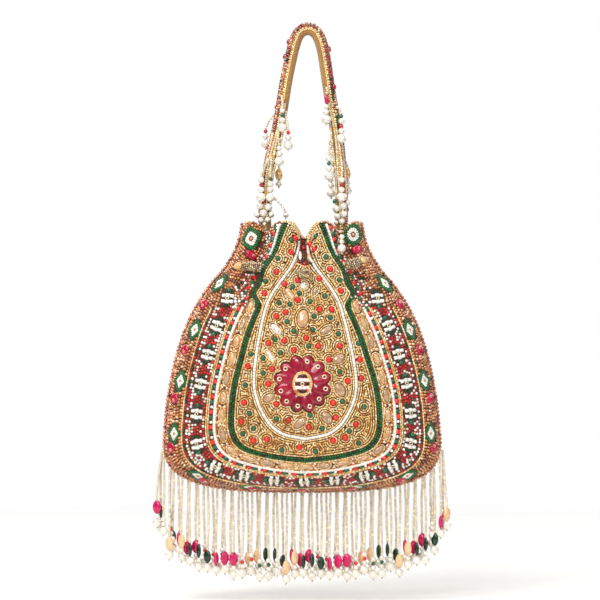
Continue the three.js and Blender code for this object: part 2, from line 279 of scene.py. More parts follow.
def profile(z):
    """Half width and half depth of the pouch at levels z."""
    drop = np.clip((WIDEST_Z - z) / (WIDEST_Z - BOTTOM_Z), 0, 1)
    lower_width = HALF_WIDTH * (1 - drop ** CORNER_POWER) ** (1 / CORNER_POWER)
    lower_depth = HALF_DEPTH * (1 - drop ** BULGE_POWER) ** (1 / BULGE_POWER)
    width = np.where(z < WIDEST_Z, lower_width, np.interp(z, PROFILE[:, 0], PROFILE[:, 1]))
    depth = np.where(z < WIDEST_Z, lower_depth, np.interp(z, PROFILE[:, 0], PROFILE[:, 2]))
    return width, depth


def seam_level(x, inset=0.0):
    """Level of the bottom seam below x."""
    share = np.clip(np.abs(x) / (HALF_WIDTH - inset), 0, 1)
    height = WIDEST_Z - BOTTOM_Z - inset
    return WIDEST_Z - height * (1 - share ** CORNER_POWER) ** (1 / CORNER_POWER)


def pleat_share(pleat, across):
    """Strength of a pleat at a place across: 1 in its middle."""
    return np.exp(-(((across - pleat[0]) / PLEAT_SPREAD) ** 2))


def dip(across):
    """How far the rim hangs down at a place across."""
    return sum(pleat[2] * pleat_share(pleat, across) for pleat in PLEATS)


def stand_out(x, z, inset=0.0):
    """How far a panel stands out from the seam plane."""
    width, depth = profile(z)
    width = np.maximum(width - inset, 0.01)
    across = np.clip(np.abs(x) / width, 0, 1)
    reach = (depth - inset) * (1 - across * across) ** (SECTION_POWER / 2)
    for pleat in PLEATS:
        strength = smooth((z - pleat[3]) / (PLEAT_FULL_Z - pleat[3]))
        reach = reach - pleat[1] * strength * pleat_share(pleat, x / (width + inset))
    return np.maximum(reach, 0)


def on_panel(spots, side, lift=0.0):
    """Positions and outward normals on the panel's cloth at spots (x, z), raised by lift."""
    x, z = spots[:, 0], spots[:, 1]
    step = 0.15
    slope_x = (stand_out(x + step, z) - stand_out(x - step, z)) / (2 * step)
    slope_z = (stand_out(x, z + step) - stand_out(x, z - step)) / (2 * step)
    normals = unit(np.stack([-slope_x, np.full(len(x), float(side)), -slope_z], 1))
    places = np.stack([x, side * (stand_out(x, z) + SEAM_HALF_GAP), z], 1)
    return places + normals * (lift - BEAD_DEPTH), normals


def pulled(spots):
    """Where the places of the flat pattern lie once the pleats have pulled the collar down."""
    width, _ = profile(spots[:, 1])
    share = smooth((spots[:, 1] - SAG_FADE_Z) / (RIM_Z - SAG_FADE_Z))
    lowered = spots[:, 1] - share * dip(spots[:, 0] / np.maximum(width, 1))
    return np.stack([spots[:, 0], lowered], 1)


def spaced(spots, side, pitch, lift=0.0, offset=0.5):
    """Equal steps along a line of spots on the panel: positions, normals, directions, spots."""
    places, _ = on_panel(spots, side)
    _, wanted, along = evenly(places, pitch, offset)
    found = at_lengths(spots, along, wanted)
    position, normal = on_panel(found, side, lift)
    ahead = at_lengths(places, along, wanted + 0.4) - at_lengths(places, along, wanted - 0.4)
    return position, normal, unit(ahead), found


# ---- bead forms

def rings_form(rings, sides, cap_first=None, cap_last=None):
    """A form from circles about Z, each (radius, height); a cap is the height of its middle."""
    angles = np.arange(sides) * 2 * math.pi / sides
    verts = [(r * math.cos(a), r * math.sin(a), h) for r, h in rings for a in angles]
    tris = []
    for cap, first, way in ((cap_first, 0, -1), (cap_last, (len(rings) - 1) * sides, 1)):
        if cap is not None:
            verts.append((0, 0, cap))
            edges = [(first + k, first + (k + 1) % sides) for k in range(sides)]
            tris += [(*edge[::way], len(verts) - 1) for edge in edges]
    return (np.array(verts, float), grid_quads(len(rings), sides, closed=True),
            np.array(tris, int).reshape(-1, 3))


def ball_form(sides, steps, ribs=0.0):
    """A ball about Z, with ribs if wanted."""
    heights = [-math.cos(math.pi * i / steps) for i in range(1, steps)]
    form = rings_form([(math.sqrt(1 - h * h), h) for h in heights], sides, -1, 1)
    if ribs:
        verts = form[0]
        turn = np.arctan2(verts[:, 1], verts[:, 0])
        verts[:, :2] *= (1 + ribs * np.cos(turn * sides / 2))[:, None]
    return form


def bugle_form():
    """Upper half of a short tube along X with rounded ends."""
    stations = [(-1, 0.4), (-0.86, 1), (0.86, 1), (1, 0.4)]
    arc = np.linspace(0, math.pi, 5)
    verts = [(x, s * math.cos(a), s * math.sin(a) - 0.1) for x, s in stations for a in arc]
    return np.array(verts), grid_quads(4, 5), np.zeros((0, 3), int)


def torus_form(sides, tube_sides, tube):
    """A ring about Z; its quads join ring i to the next one, and the last one to the first."""
    verts = [
        ((1 + tube * math.cos(b)) * math.cos(a), (1 + tube * math.cos(b)) * math.sin(a),
         tube * math.sin(b))
        for a in np.arange(sides) * 2 * math.pi / sides
        for b in np.arange(tube_sides) * 2 * math.pi / tube_sides
    ]
    quads = grid_quads(sides + 1, tube_sides, closed=True) % len(verts)
    return np.array(verts), quads[:, [0, 3, 2, 1]], np.zeros((0, 3), int)


def along_x(form):
    """Turns a form made about Z to lie along X."""
    verts, quads, tris = form
    return verts[:, [2, 0, 1]], quads, tris


FORMS = {
    "seed": rings_form([(1, 0), (0.74, 0.7)], 8, cap_last=1),
    "bugle": bugle_form(),
    "round": rings_form([(0.87, -0.5), (1, 0), (0.87, 0.5), (0.5, 0.87)], 12, cap_last=1),
    "stone": rings_form([(1, -0.3), (0.98, 0.3), (0.82, 0.72), (0.45, 0.95)], 18, cap_last=1),
    "petal": rings_form([(0.96, -0.6), (1, 0.1), (0.93, 0.55), (0.68, 0.9), (0.3, 1.0)], 22,
                        cap_last=0.92),
    "gem": rings_form([(1, -0.2), (0.95, 0.35), (0.62, 0.95)], 10, cap_last=1.05),
    "eyelet": torus_form(12, 6, 0.34),
    "barrel": along_x(rings_form([(0.62, -1), (1, -0.45), (1, 0.45), (0.62, 1)], 8)),
    "pearl": ball_form(14, 9),
    "small_ball": ball_form(10, 6),
    "ribbed": ball_form(20, 10, ribs=0.07),
}


class Beads:
    """Beads gathered by material, to be made into one mesh."""

    def __init__(self):
        self.parts = []

    def add(self, form, material, position, up, along, size, colour):
        """Adds a bead of a form at each position. size is half length, half width, height,
        and a colour is a name or a row for each bead."""
        position = np.atleast_2d(position)
        count = len(position)
        if not count:
            return
        up = np.broadcast_to(unit(np.asarray(up, float)), (count, 3))
        along = np.broadcast_to(np.asarray(along, float), (count, 3))
        along = unit(along - up * np.sum(along * up, axis=1, keepdims=True))
        across = np.cross(up, along)
        size = np.broadcast_to(size, (count, 3))
        verts, quads, tris = FORMS[form]
        points = (
            position[:, None]
            + (size[:, 0:1] * along)[:, None] * verts[None, :, 0:1]
            + (size[:, 1:2] * across)[:, None] * verts[None, :, 1:2]
            + (size[:, 2:3] * up)[:, None] * verts[None, :, 2:3]
        ).reshape(-1, 3)
        shift = (np.arange(count) * len(verts))[:, None, None]
        if isinstance(colour, str):
            colour = linear(colour)[0]
        colours = np.repeat(np.broadcast_to(colour, (count, 3)), len(verts), axis=0)
        self.parts.append((
            points, (quads[None] + shift).reshape(-1, 4), (tris[None] + shift).reshape(-1, 3),
            colours, material,
        ))

    def seeds(self, position, up, along, size, colour, lined):
        """Adds seed beads, of which some are silver-lined."""
        size = np.broadcast_to(size, position.shape)
        for material, pick in (("lined_glass", lined), ("glass", ~lined)):
            self.add("seed", material, position[pick], up[pick], along[pick], size[pick],
                     colour[pick])

    def surface(self, points, quads, material, colour, tris=()):
        """Adds a plain surface of quads and triangles."""
        colours = np.broadcast_to(linear(colour)[0], (len(points), 3))
        self.parts.append((points, quads, np.array(tris, int).reshape(-1, 3), colours, material))

    def make(self, name, body, slot, *replaced):
        """The mesh object, riding its body and standing for CAD nodes."""
        names = sorted({part[4] for part in self.parts})
        start, loops, lengths, kinds = 0, [], [], []
        for points, quads, tris, _, material in self.parts:
            for faces in (quads, tris):
                loops.append((faces + start).ravel())
                lengths.append(np.full(len(faces), faces.shape[1]))
                kinds.append(np.full(len(faces), names.index(material)))
            start += len(points)
        lengths = np.concatenate(lengths)
        points, _, _, colours, _ = zip(*self.parts)
        mesh = bpy.data.meshes.new(name)
        mesh.vertices.add(start)
        mesh.loops.add(int(lengths.sum()))
        mesh.polygons.add(len(lengths))
        for items, field, values, kind in (
            (mesh.vertices, "co", np.vstack(points) * MM, np.float32),
            (mesh.loops, "vertex_index", np.concatenate(loops), np.int32),
            (mesh.polygons, "loop_start", np.cumsum(lengths) - lengths, np.int32),
            (mesh.polygons, "material_index", np.concatenate(kinds), np.int32),
            (mesh.polygons, "use_smooth", np.ones(len(lengths)), bool),
        ):
            items.foreach_set(field, values.astype(kind).ravel())
        colour = mesh.attributes.new("bead_colour", "FLOAT_COLOR", "POINT")
        rgba = np.hstack([np.vstack(colours), np.ones((start, 1))])
        colour.data.foreach_set("color", rgba.astype(np.float32).ravel())
        mesh.update(calc_edges=True)
        for material in names:
            mesh.materials.append(MATERIALS[material])
        piece = bpy.data.objects.new(name, mesh)
        bpy.context.scene.collection.objects.link(piece)
        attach(piece, body)
        if replaced:
            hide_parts(*replaced)
        return piece


# ---- materials

MATERIALS = {}


class Nodes:
    """A material's node tree with its Principled shader, and short ways to add to it."""

    def __init__(self, name, **values):
        self.material = bpy.data.materials.new(name)
        self.material.use_nodes = True
        self.tree = self.material.node_tree
        self.shader = self.tree.nodes["Principled BSDF"]
        for socket, value in values.items():
            self.shader.inputs[socket.replace("_", " ")].default_value = value
        MATERIALS[name] = self.material

    def node(self, kind, values=None, **settings):
        made = self.tree.nodes.new(kind)
        for key, value in settings.items():
            setattr(made, key, value)
        for socket, value in (values or {}).items():
            made.inputs[socket].default_value = value
        return made

    def link(self, source, target):
        self.tree.links.new(source, target)

    def place(self):
        return self.node("ShaderNodeTexCoord").outputs["Object"]

    def noise(self, vector, scale, detail=2.0, roughness=0.5):
        made = self.node("ShaderNodeTexNoise",
                         {"Scale": scale, "Detail": detail, "Roughness": roughness})
        self.link(vector, made.inputs["Vector"])
        return made.outputs["Fac"]

    def ranged(self, value, low, high, from_low=0.3, from_high=0.7):
        made = self.node("ShaderNodeMapRange", {
            "From Min": from_low, "From Max": from_high, "To Min": low, "To Max": high,
        })
        self.link(value, made.inputs["Value"])
        return made.outputs["Result"]

    def ramp(self, value, *stops):
        made = self.node("ShaderNodeValToRGB")
        self.link(value, made.inputs["Fac"])
        elements = made.color_ramp.elements
        while len(elements) < len(stops):
            elements.new(0.5)
        for element, (position, name, strength) in zip(elements, stops):
            element.position = position
            element.color = (*(linear(name)[0] * strength), 1)
        return made.outputs["Color"]

    def mix(self, kind, factor, first, second):
        made = self.node("ShaderNodeMix", data_type="RGBA", blend_type=kind)
        for socket, value in ((0, factor), (6, first), (7, second)):
            if isinstance(value, bpy.types.NodeSocket):
                self.link(value, made.inputs[socket])
            else:
                made.inputs[socket].default_value = value
        return made.outputs[2]

    def bump(self, height, distance, strength=1.0):
        made = self.node("ShaderNodeBump", {"Distance": distance, "Strength": strength})
        self.link(height, made.inputs["Height"])
        self.link(made.outputs["Normal"], self.shader.inputs["Normal"])


def bead_material(name, streak_scale, dark, rough_low, rough_high, bump=0.00004, **values):
    """Glass, metal or pearl whose colour comes from each bead, clouded by a fine streak."""
    nodes = Nodes(name, **values)
    place = nodes.place()
    bead = nodes.node("ShaderNodeAttribute", attribute_name="bead_colour").outputs["Color"]
    cloud = nodes.noise(place, streak_scale, 3.0)
    shade = nodes.ramp(cloud, (0.35, "white", dark), (0.62, "white", 1.1))
    nodes.link(nodes.mix("MULTIPLY", 1.0, bead, shade), nodes.shader.inputs["Base Color"])
    nodes.link(nodes.ranged(cloud, rough_low, rough_high), nodes.shader.inputs["Roughness"])
    nodes.bump(nodes.noise(place, streak_scale * 2.2), bump)
    return nodes


def make_materials():
    """All bead materials, cloths and satin."""
    bead_material("glass", 700, 0.78, 0.12, 0.26, Coat_Weight=0.4, Coat_Roughness=0.08, IOR=1.5)
    bead_material("lined_glass", 900, 0.62, 0.16, 0.30,
                  Metallic=0.3, Coat_Weight=1.0, Coat_Roughness=0.12, Coat_IOR=1.7)
    bead_material("metal", 500, 0.80, 0.22, 0.36, 0.00002, Metallic=0.45,
                  Coat_Weight=0.4, Coat_Roughness=0.1)
    bead_material("pearl", 260, 0.92, 0.16, 0.26, 0.00002, Metallic=0.2,
                  Coat_Weight=1.0, Coat_Roughness=0.04)
    bead_material("gem", 420, 0.70, 0.16, 0.28, 0.00005,
                  Coat_Weight=0.3, Coat_Roughness=0.06, IOR=1.5)
    shell = bead_material("shell", 330, 0.66, 0.08, 0.22, 0.0001,
                          Coat_Weight=1.0, Coat_Roughness=0.05, Sheen_Weight=0.1)
    wave = shell.node("ShaderNodeTexWave", {"Scale": 420.0, "Distortion": 9.0, "Detail": 2.0})
    shell.link(shell.place(), wave.inputs["Vector"])
    streaks = shell.ramp(wave.outputs["Fac"], (0.25, "smoky", 0.9), (0.75, "white", 1.1))
    base = shell.shader.inputs["Base Color"]
    shell.link(shell.mix("MULTIPLY", 0.6, base.links[0].from_socket, streaks), base)
    # The panels' ground cloth is kept dark, partly as painted shade between the beads; its weave
    # runs down to the shadow colour.
    make_cloth("ground_cloth", 0.75, "ground", "shadow", 0.1)
    make_cloth("strap_cloth", 0.55, "fabric", "fabric_shade", 0.35)
    make_satin()


def make_cloth(name, fineness, light, dark, sheen):
    """Plain woven cloth: two crossing sets of threads with painted shade between them, slubs, and
    a soft sheen.
    """
    nodes = Nodes(name, Sheen_Weight=sheen, Sheen_Roughness=0.4)
    uv = nodes.node("ShaderNodeAttribute", attribute_name="weave").outputs["Vector"]
    weave = nodes.node("ShaderNodeMath", operation="MULTIPLY")
    for number, direction in enumerate("XY"):
        threads = nodes.node("ShaderNodeTexWave", {"Scale": fineness, "Distortion": 0.6},
                             bands_direction=direction)
        nodes.link(uv, threads.inputs["Vector"])
        nodes.link(threads.outputs["Fac"], weave.inputs[number])
    slubs = nodes.noise(nodes.place(), 120, 4.0, 0.6)
    # Between the threads the colour runs down to the dark one: painted shade in the gaps of the
    # weave.
    colour = nodes.ramp(weave.outputs[0], (0.05, dark, 0.9), (0.45, light, 1.0))
    wear = nodes.ramp(slubs, (0.35, "amber", 1.1), (0.6, "white", 1.0))
    nodes.link(nodes.mix("MULTIPLY", 0.35, colour, wear), nodes.shader.inputs["Base Color"])
    nodes.link(nodes.ranged(slubs, 0.42, 0.7), nodes.shader.inputs["Roughness"])
    nodes.bump(weave.outputs[0], 0.00018)


def make_satin():
    """Satin with long soft creases, painted darker in their hollows as shade, and a fine warp."""
    nodes = Nodes("satin", Sheen_Weight=0.5, Sheen_Roughness=0.3, Anisotropic=0.6,
                  Specular_IOR_Level=0.6)
    place = nodes.place()
    stretch = nodes.node("ShaderNodeMapping", {"Scale": (1.0, 1.0, 0.16)})
    nodes.link(place, stretch.inputs["Vector"])
    creases = nodes.noise(stretch.outputs[0], 60, 3.0, 0.55)
    # The darker satin_shade in the creases' hollows is painted shade.
    nodes.link(nodes.ramp(creases, (0.3, "satin_shade", 1.0), (0.7, "satin", 1.0)),
               nodes.shader.inputs["Base Color"])
    nodes.link(nodes.ranged(creases, 0.5, 0.3), nodes.shader.inputs["Roughness"])
    nodes.bump(creases, 0.0015)


# ---- cloth of the panels, and the lining

def skin(columns, rows, inset, top_level, edge, side):
    """Grid of points of one face of the pouch at an inset from the panel's outer face."""
    across = np.sin(np.linspace(-0.5, 0.5, columns) * math.pi)
    down = (1 - (1 - np.linspace(0, 1, rows)) ** 1.25)[:, None]
    top = top_level(across)[None]
    bottom_z = BOTTOM_Z + inset
    corner_z = WIDEST_Z - CORNER_SHARE * (WIDEST_Z - bottom_z)
    side_z = top + (corner_z - top) * down
    x = across[None] * np.maximum(profile(side_z)[0] - inset, 0)
    bottom = seam_level(across * (profile(np.array(corner_z))[0] - inset), inset)[None]
    z = top + (bottom - top) * down
    y = side * (stand_out(x, z, inset) + edge)
    return np.stack([x, y, z], -1)


def close_shell(outer, inner):
    """Points and quads of a thin closed sheet between two grids."""
    rows, columns = outer.shape[:2]
    points = np.vstack([outer.reshape(-1, 3), inner.reshape(-1, 3)])
    face = grid_quads(rows, columns)
    shift = rows * columns
    top = np.arange(columns)
    bottom = (rows - 1) * columns + top
    left = np.arange(rows) * columns
    right = left + columns - 1
    rim = []
    for line in (top, bottom[::-1], right, left[::-1]):
        for a, b in zip(line[:-1], line[1:]):
            rim.append((b, a, a + shift, b + shift))
    return points, np.vstack([face, face[:, ::-1] + shift, np.array(rim)])


def set_weave(piece, coordinates):
    """Thread coordinates in millimetres, which the cloth's weave follows."""
    weave = piece.data.attributes.new("weave", "FLOAT_VECTOR", "POINT")
    flat = np.hstack([coordinates, np.zeros((len(coordinates), 1))])
    weave.data.foreach_set("vector", flat.astype(np.float32).ravel())


def rim_level(across):
    """Level of a panel's upper edge."""
    return RIM_Z - dip(across)


def panel_cloth(name, node, side):
    """The cloth of one panel, as a closed sheet under its beads."""
    outer, inner = (skin(110, 70, inset, rim_level, SEAM_HALF_GAP, side)
                    for inset in (BEAD_DEPTH, PANEL_THICKNESS))
    points, quads = close_shell(outer, inner)
    cloth = Beads()
    cloth.surface(points, quads[:, ::side], "ground_cloth", "amber")
    piece = cloth.make(name, "bag", "beaded_panel", node)
    set_weave(piece, points[:, [0, 2]])


def lining_level(across):
    """Level of the lining's upper edge."""
    return np.full(len(across), LINING_TOP_Z)


def lining_sack(columns=70, rows=40):
    """One satin sack with an open mouth, an outer and an inner skin joined along its edge."""
    skins = []
    for deeper in (0, LINING_THICKNESS):
        front, back = (skin(columns, rows, LINING_INSET + deeper, lining_level,
                            LINING_EDGE - deeper, side) for side in (FRONT, BACK))
        skins.append(np.concatenate([front, back[:, ::-1]], axis=1).reshape(-1, 3))
    ring = 2 * columns
    outer = grid_quads(rows, ring, closed=True)
    shift = rows * ring
    mouth = [(k, (k + 1) % ring, (k + 1) % ring + shift, k + shift) for k in range(ring)]
    last = (rows - 1) * ring
    floor = np.array([(last + k, last + k + 1, last + ring - 2 - k, last + ring - 1 - k)
                      for k in range(columns - 1)])
    quads = np.vstack([
        outer[:, ::-1], outer + shift, np.array(mouth), floor[:, ::-1], floor + shift,
    ])
    sack = Beads()
    sack.surface(np.vstack(skins), quads, "satin", "brown")
    sack.make("satin_lining", "bag", "lining_satin", "lining")


# ---- lines of the pattern

def centre_line(z):
    """The shield leans a little to the right towards the bottom."""
    return 1 + 1.6 * smooth((-200 - z) / 80)


def both_sides(half, centre):
    """A symmetric line from its top left round the bottom to its top right."""
    left, right = (np.stack([centre + way * half[:, 0], half[:, 1]], 1) for way in (-1, 1))
    return np.vstack([left[::-1], right[1:]])


GREEN_HALF, WHITE_HALF = catmull_rom(GREEN_LINE, 10), catmull_rom(WHITE_LINE, 10)
GREEN_SPOTS, WHITE_SPOTS = (both_sides(half, centre_line(half[:, 1]))
                            for half in (GREEN_HALF, WHITE_HALF))


def outline_half():
    """Outline of the bag from the middle of the bottom to the rim."""
    turn = np.linspace(0, math.pi / 2, 90)
    share = 2 / CORNER_POWER
    bottom = np.stack([
        HALF_WIDTH * np.sin(turn) ** share,
        WIDEST_Z - (WIDEST_Z - BOTTOM_Z) * np.cos(turn).clip(0) ** share,
    ], 1)
    levels = np.linspace(WIDEST_Z, RIM_Z, 120)[1:]
    return np.vstack([bottom, np.stack([profile(levels)[0], levels], 1)])


def nearest_length(line, spot):
    """Length along a line of its point nearest to a spot."""
    return lengths_along(line)[np.argmin(np.linalg.norm(line - np.array(spot), axis=1))]


class Border:
    """The region from the green line out to the bag's outline. A row lies at a share of the
    way out, measured over the surface, so rows keep their order and even gaps all round."""

    def __init__(self, columns=360, steps=70):
        outline = outline_half()
        along = lengths_along(outline)
        greens, outers = (
            [nearest_length(line, ray[end]) for ray in RAYS]
            for end, line in enumerate((GREEN_HALF, outline))
        )
        wanted = np.linspace(0, along[-1], columns)
        outer = at_lengths(outline, along, wanted)
        inner = at_lengths(GREEN_HALF, lengths_along(GREEN_HALF),
                           np.interp(wanted, outers, greens))
        share = np.linspace(0, 1, steps)[:, None, None]
        flat = (both_sides(inner, centre_line(inner[:, 1])) * (1 - share)
                + both_sides(outer, 0) * share)
        self.spots = pulled(flat.reshape(-1, 2)).reshape(flat.shape)
        places = on_panel(self.spots.reshape(-1, 2), FRONT)[0].reshape(steps, -1, 3)
        gaps = np.linalg.norm(np.diff(places, axis=0), axis=2)
        self.along = np.concatenate([np.zeros((1, gaps.shape[1])), np.cumsum(gaps, axis=0)])
        self.reach = self.along[-1]

    def row(self, share):
        """Spots of the row at a share of the way out."""
        return np.array([
            [np.interp(share * reach, self.along[:, k], self.spots[:, k, axis]) for axis in (0, 1)]
            for k, reach in enumerate(self.reach)
        ])

    def reach_at(self, row, spots):
        """Distance over the surface from the green line to the outline, at spots of a row."""
        nearest = np.argmin(((spots[:, None] - row[None, ::4]) ** 2).sum(2), axis=1) * 4
        return self.reach[nearest]


BORDER = Border()


class Patch:
    """A small flat motif: local u along and v across, laid on the panel."""

    def __init__(self, spot, side, angle=0, along=None):
        self.side, self.base = side, 0.0
        position, normal = on_panel(np.array([spot], float), side)
        self.position, self.normal = position[0], normal[0]
        if along is None:
            turn = math.radians(angle)
            along = np.array([math.cos(turn), 0, math.sin(turn)])
        self.along = unit(along - self.normal * np.dot(along, self.normal))
        self.across = np.cross(self.normal, self.along)

    def raised(self, by):
        """The same patch, whose pieces lie higher."""
        higher = copy.copy(self)
        higher.base = by
        return higher

    def place(self, u, v, lift=0.0):
        """Positions and normals at local places."""
        u, v = np.atleast_1d(u), np.atleast_1d(v)
        points = self.position + u[:, None] * self.along + v[:, None] * self.across
        return on_panel(points[:, [0, 2]], self.side, lift + self.base)

    def bead(self, beads, form, material, size, colour, u=0, v=0, lift=0.0, along=None):
        """Adds a bead at each local place."""
        position, normal = self.place(u, v, lift)
        beads.add(form, material, position, normal, self.along if along is None else along,
                  size, colour)

    def eyelet(self, beads, u, v, lift, radius):
        """A small gold ring round a black disc, painted shade that stands for the hole, as holds a
        sewn stone.
        """
        way = np.array([1.0, 0.2, 0.1])
        self.bead(beads, "eyelet", "metal", radius, "cream", u, v, lift, way)
        # The black disc paints the shade inside the hole.
        self.bead(beads, "seed", "glass", (radius * 0.75, radius * 0.75, 0.25), "black",
                  u, v, lift, way)

    def covers(self, points, half_length, half_width):
        away = points - self.position
        u = away @ self.along / half_length
        v = away @ self.across / half_width
        return (u * u + v * v < 1) & (np.abs(away @ self.normal) < 6)


def keep_clear(points, patches):
    """True for points that no patch covers; patches are (patch, half length, half width)."""
    kept = np.ones(len(points), bool)
    for patch, half_length, half_width in patches:
        kept &= ~patch.covers(points, half_length, half_width)
    return kept


# ---- motifs

def gold_ring(beads, patch, half_length, half_width, pitch=1.9, thick=0.62):
    """Bugles laid end to end round an oval."""
    fine = np.linspace(0, 2 * math.pi, 181)
    loop = np.stack([half_length * np.cos(fine), half_width * np.sin(fine)], 1)
    spots, wanted, along = evenly(loop, pitch, least=6)
    ahead = unit(at_lengths(loop, along, wanted + 0.1) - spots)
    patch.bead(beads, "bugle", "metal", (along[-1] / len(spots) / 2, thick, thick * 1.5),
               mixed(len(spots), GOLD_MIX), *spots.T, 0.1,
               ahead[:, :1] * patch.along + ahead[:, 1:] * patch.across)


GOLD_MIX = {"gold": 6, "cream": 3, "amber": 0.6}
CREST_MIX = {"gold": 5, "cream": 6}
LOW_MIX = {"gold": 6, "cream": 2, "amber": 2.5}
STONE_COLOURS = {"white": "white", "peach": "peach_stone", "smoky": "smoky", "gold": "gold"}


def sewn_stone(beads, patch, half_length, half_width, kind, hole=0.45):
    """A shell stone, and the eyelet that holds it."""
    height = 0.75 + 0.3 * half_width
    patch.bead(beads, "stone", "shell", (half_length, half_width, height), STONE_COLOURS[kind],
               lift=0.15)
    if hole:
        patch.eyelet(beads, half_length * hole, half_width * 0.15, height * 0.92, 0.85)


def striped_oval(beads, patch, bars, bar_pitch, widths, bend):
    """Bars of beads across the patch, each bar bent round the middle one, and an eyelet."""
    middle = (len(bars) - 1) / 2
    for k, (colour, half) in enumerate(zip(bars, widths)):
        form, pitch, lift = ("bugle", 2.7, 0.5) if colour == "white" else ("seed", 1.9, 0.3)
        count = max(2, int(round(2 * half / pitch)))
        step = 2 * half / count
        v = (np.arange(count) - (count - 1) / 2) * step
        u = (k - middle) * bar_pitch * (1 - bend * (v / max(widths)) ** 2)
        patch.bead(beads, form, "glass", (step * 0.52, bar_pitch * 0.52, 1.35),
                   mixed(count, {colour: 1}, 0.05), u, v, lift, patch.across)
    patch.eyelet(beads, 0, 0, 1.3, 1.15)


def seed_ring(beads, patch, line, pitch, least, width, height, colour):
    """Seed beads round a closed line of local places."""
    spots, *_ = evenly(line, pitch, 0, least)
    patch.bead(beads, "seed", "glass", (width, width, height), mixed(len(spots), {colour: 1}),
               *spots.T, 0.15)


def diamond(beads, patch, half_length, half_width):
    """Green outlined white lozenge with a copper bead in the middle."""
    corners = np.array([(1, 0), (0, 1), (-1, 0), (0, -1), (1, 0)]) * [half_length, half_width]
    for shrink, colour in ((1, "green"), (0.8, "green"), (0.55, "white"), (0.33, "white")):
        seed_ring(beads, patch, corners * shrink, 1.75, 4, 0.95, 1.1, colour)
    patch.bead(beads, "seed", "lined_glass", (1.2, 1.2, 1.3), "copper", lift=0.2)


def gem(beads, patch, half_length, half_width):
    """A magenta stone with an eyelet."""
    patch.bead(beads, "stone", "gem", (half_length, half_width, 1.9), "magenta", lift=0.1)
    patch.eyelet(beads, half_length * 0.3, half_width * 0.2, 1.75, 0.9)


def flower(beads, side):
    """Overlapping magenta petals with eyelets round a striped oval."""
    spot = pulled(np.array([FLOWER]))[0]
    patch = Patch(spot, side)
    for k in range(PETALS):
        turn = 2 * math.pi * (k + 0.5) / PETALS + 0.05
        way = np.array([math.cos(turn), math.sin(turn)])
        if side * patch.across[2] > 0:
            way = way * [1, -1]
        reach = PETAL_REACH * (1 + 0.03 * math.sin(3 * k))
        lift = 0.55 if k % 2 else 0.25
        position, normal = patch.place(*way * reach, lift)
        radial = way[0] * patch.along + way[1] * patch.across
        tilt = unit(normal + 0.13 * np.cross(normal, radial))
        beads.add("petal", "gem", position, tilt, radial,
                  (PETAL_HALF_LENGTH, PETAL_HALF_WIDTH, 1.55), mixed(1, {"petal": 1}, 0.12))
        if k != BARE_PETAL:
            hole = reach + PETAL_HALF_LENGTH * 0.42
            patch.eyelet(beads, *way * hole, lift + 1.4, 1.35)
    upright = Patch(spot, side, angle=90)
    upright.bead(beads, "petal", "gem", (9.6, 7.6, 1.6), "garnet", lift=0.5)
    for lift, wider in ((1.6, 1.6), (1.8, 0.5)):
        gold_ring(beads, upright.raised(lift), EYE_HALF_HEIGHT + wider,
                  EYE_HALF_WIDTH + wider - 0.1)
    widths = [EYE_HALF_WIDTH * w for w in (0.62, 0.93, 1.0, 0.93, 0.62)]
    striped_oval(beads, upright.raised(1.3), ["black", "white", "black", "white", "black"],
                 EYE_HALF_HEIGHT * 0.4, widths, bend=0.13)


# ---- gold vermicelli of the shield

FIELD_STEP = 0.4
GREEN_LINE_HALF, WHITE_LINE_HALF = 1.85, 1.15     # half widths of the two lines
GREEN_ASIDE = 0.86        # the green line is two rows of seeds, this far from its middle
CREST_Z, LOW_Z = -195.0, -285.0     # the gold is paler above the one, darker below the other
SUNK = 0.25               # how far the gold runs in under a round bead
SHORTEST_ROW = 2.2
FIELD_X = np.arange(-60, 62, FIELD_STEP)
FIELD_Z = np.arange(-320, RIM_Z + 0.4, FIELD_STEP)


def distance_to_line(points, line):
    """Distance from every point to the nearest of a line's closely spaced spots."""
    along = lengths_along(line)
    dense = at_lengths(line, along, np.arange(0, along[-1], 0.6))
    out = np.empty(len(points))
    for start in range(0, len(points), 8000):
        block = points[start:start + 8000]
        away = ((block[:, None] - dense[None]) ** 2).sum(2)
        out[start:start + 8000] = np.sqrt(away.min(1))
    return out


def oval_distance(points, x, z, angle, half_length, half_width):
    """Distance from every point to an oval, negative inside it."""
    turn = math.radians(angle)
    away = points - np.array([x, z])
    u = away @ np.array([math.cos(turn), math.sin(turn)])
    v = away @ np.array([-math.sin(turn), math.cos(turn)])
    share = np.sqrt((u / half_length) ** 2 + (v / half_width) ** 2)
    return np.hypot(u, v) * (1 - 1 / np.maximum(share, 0.05))


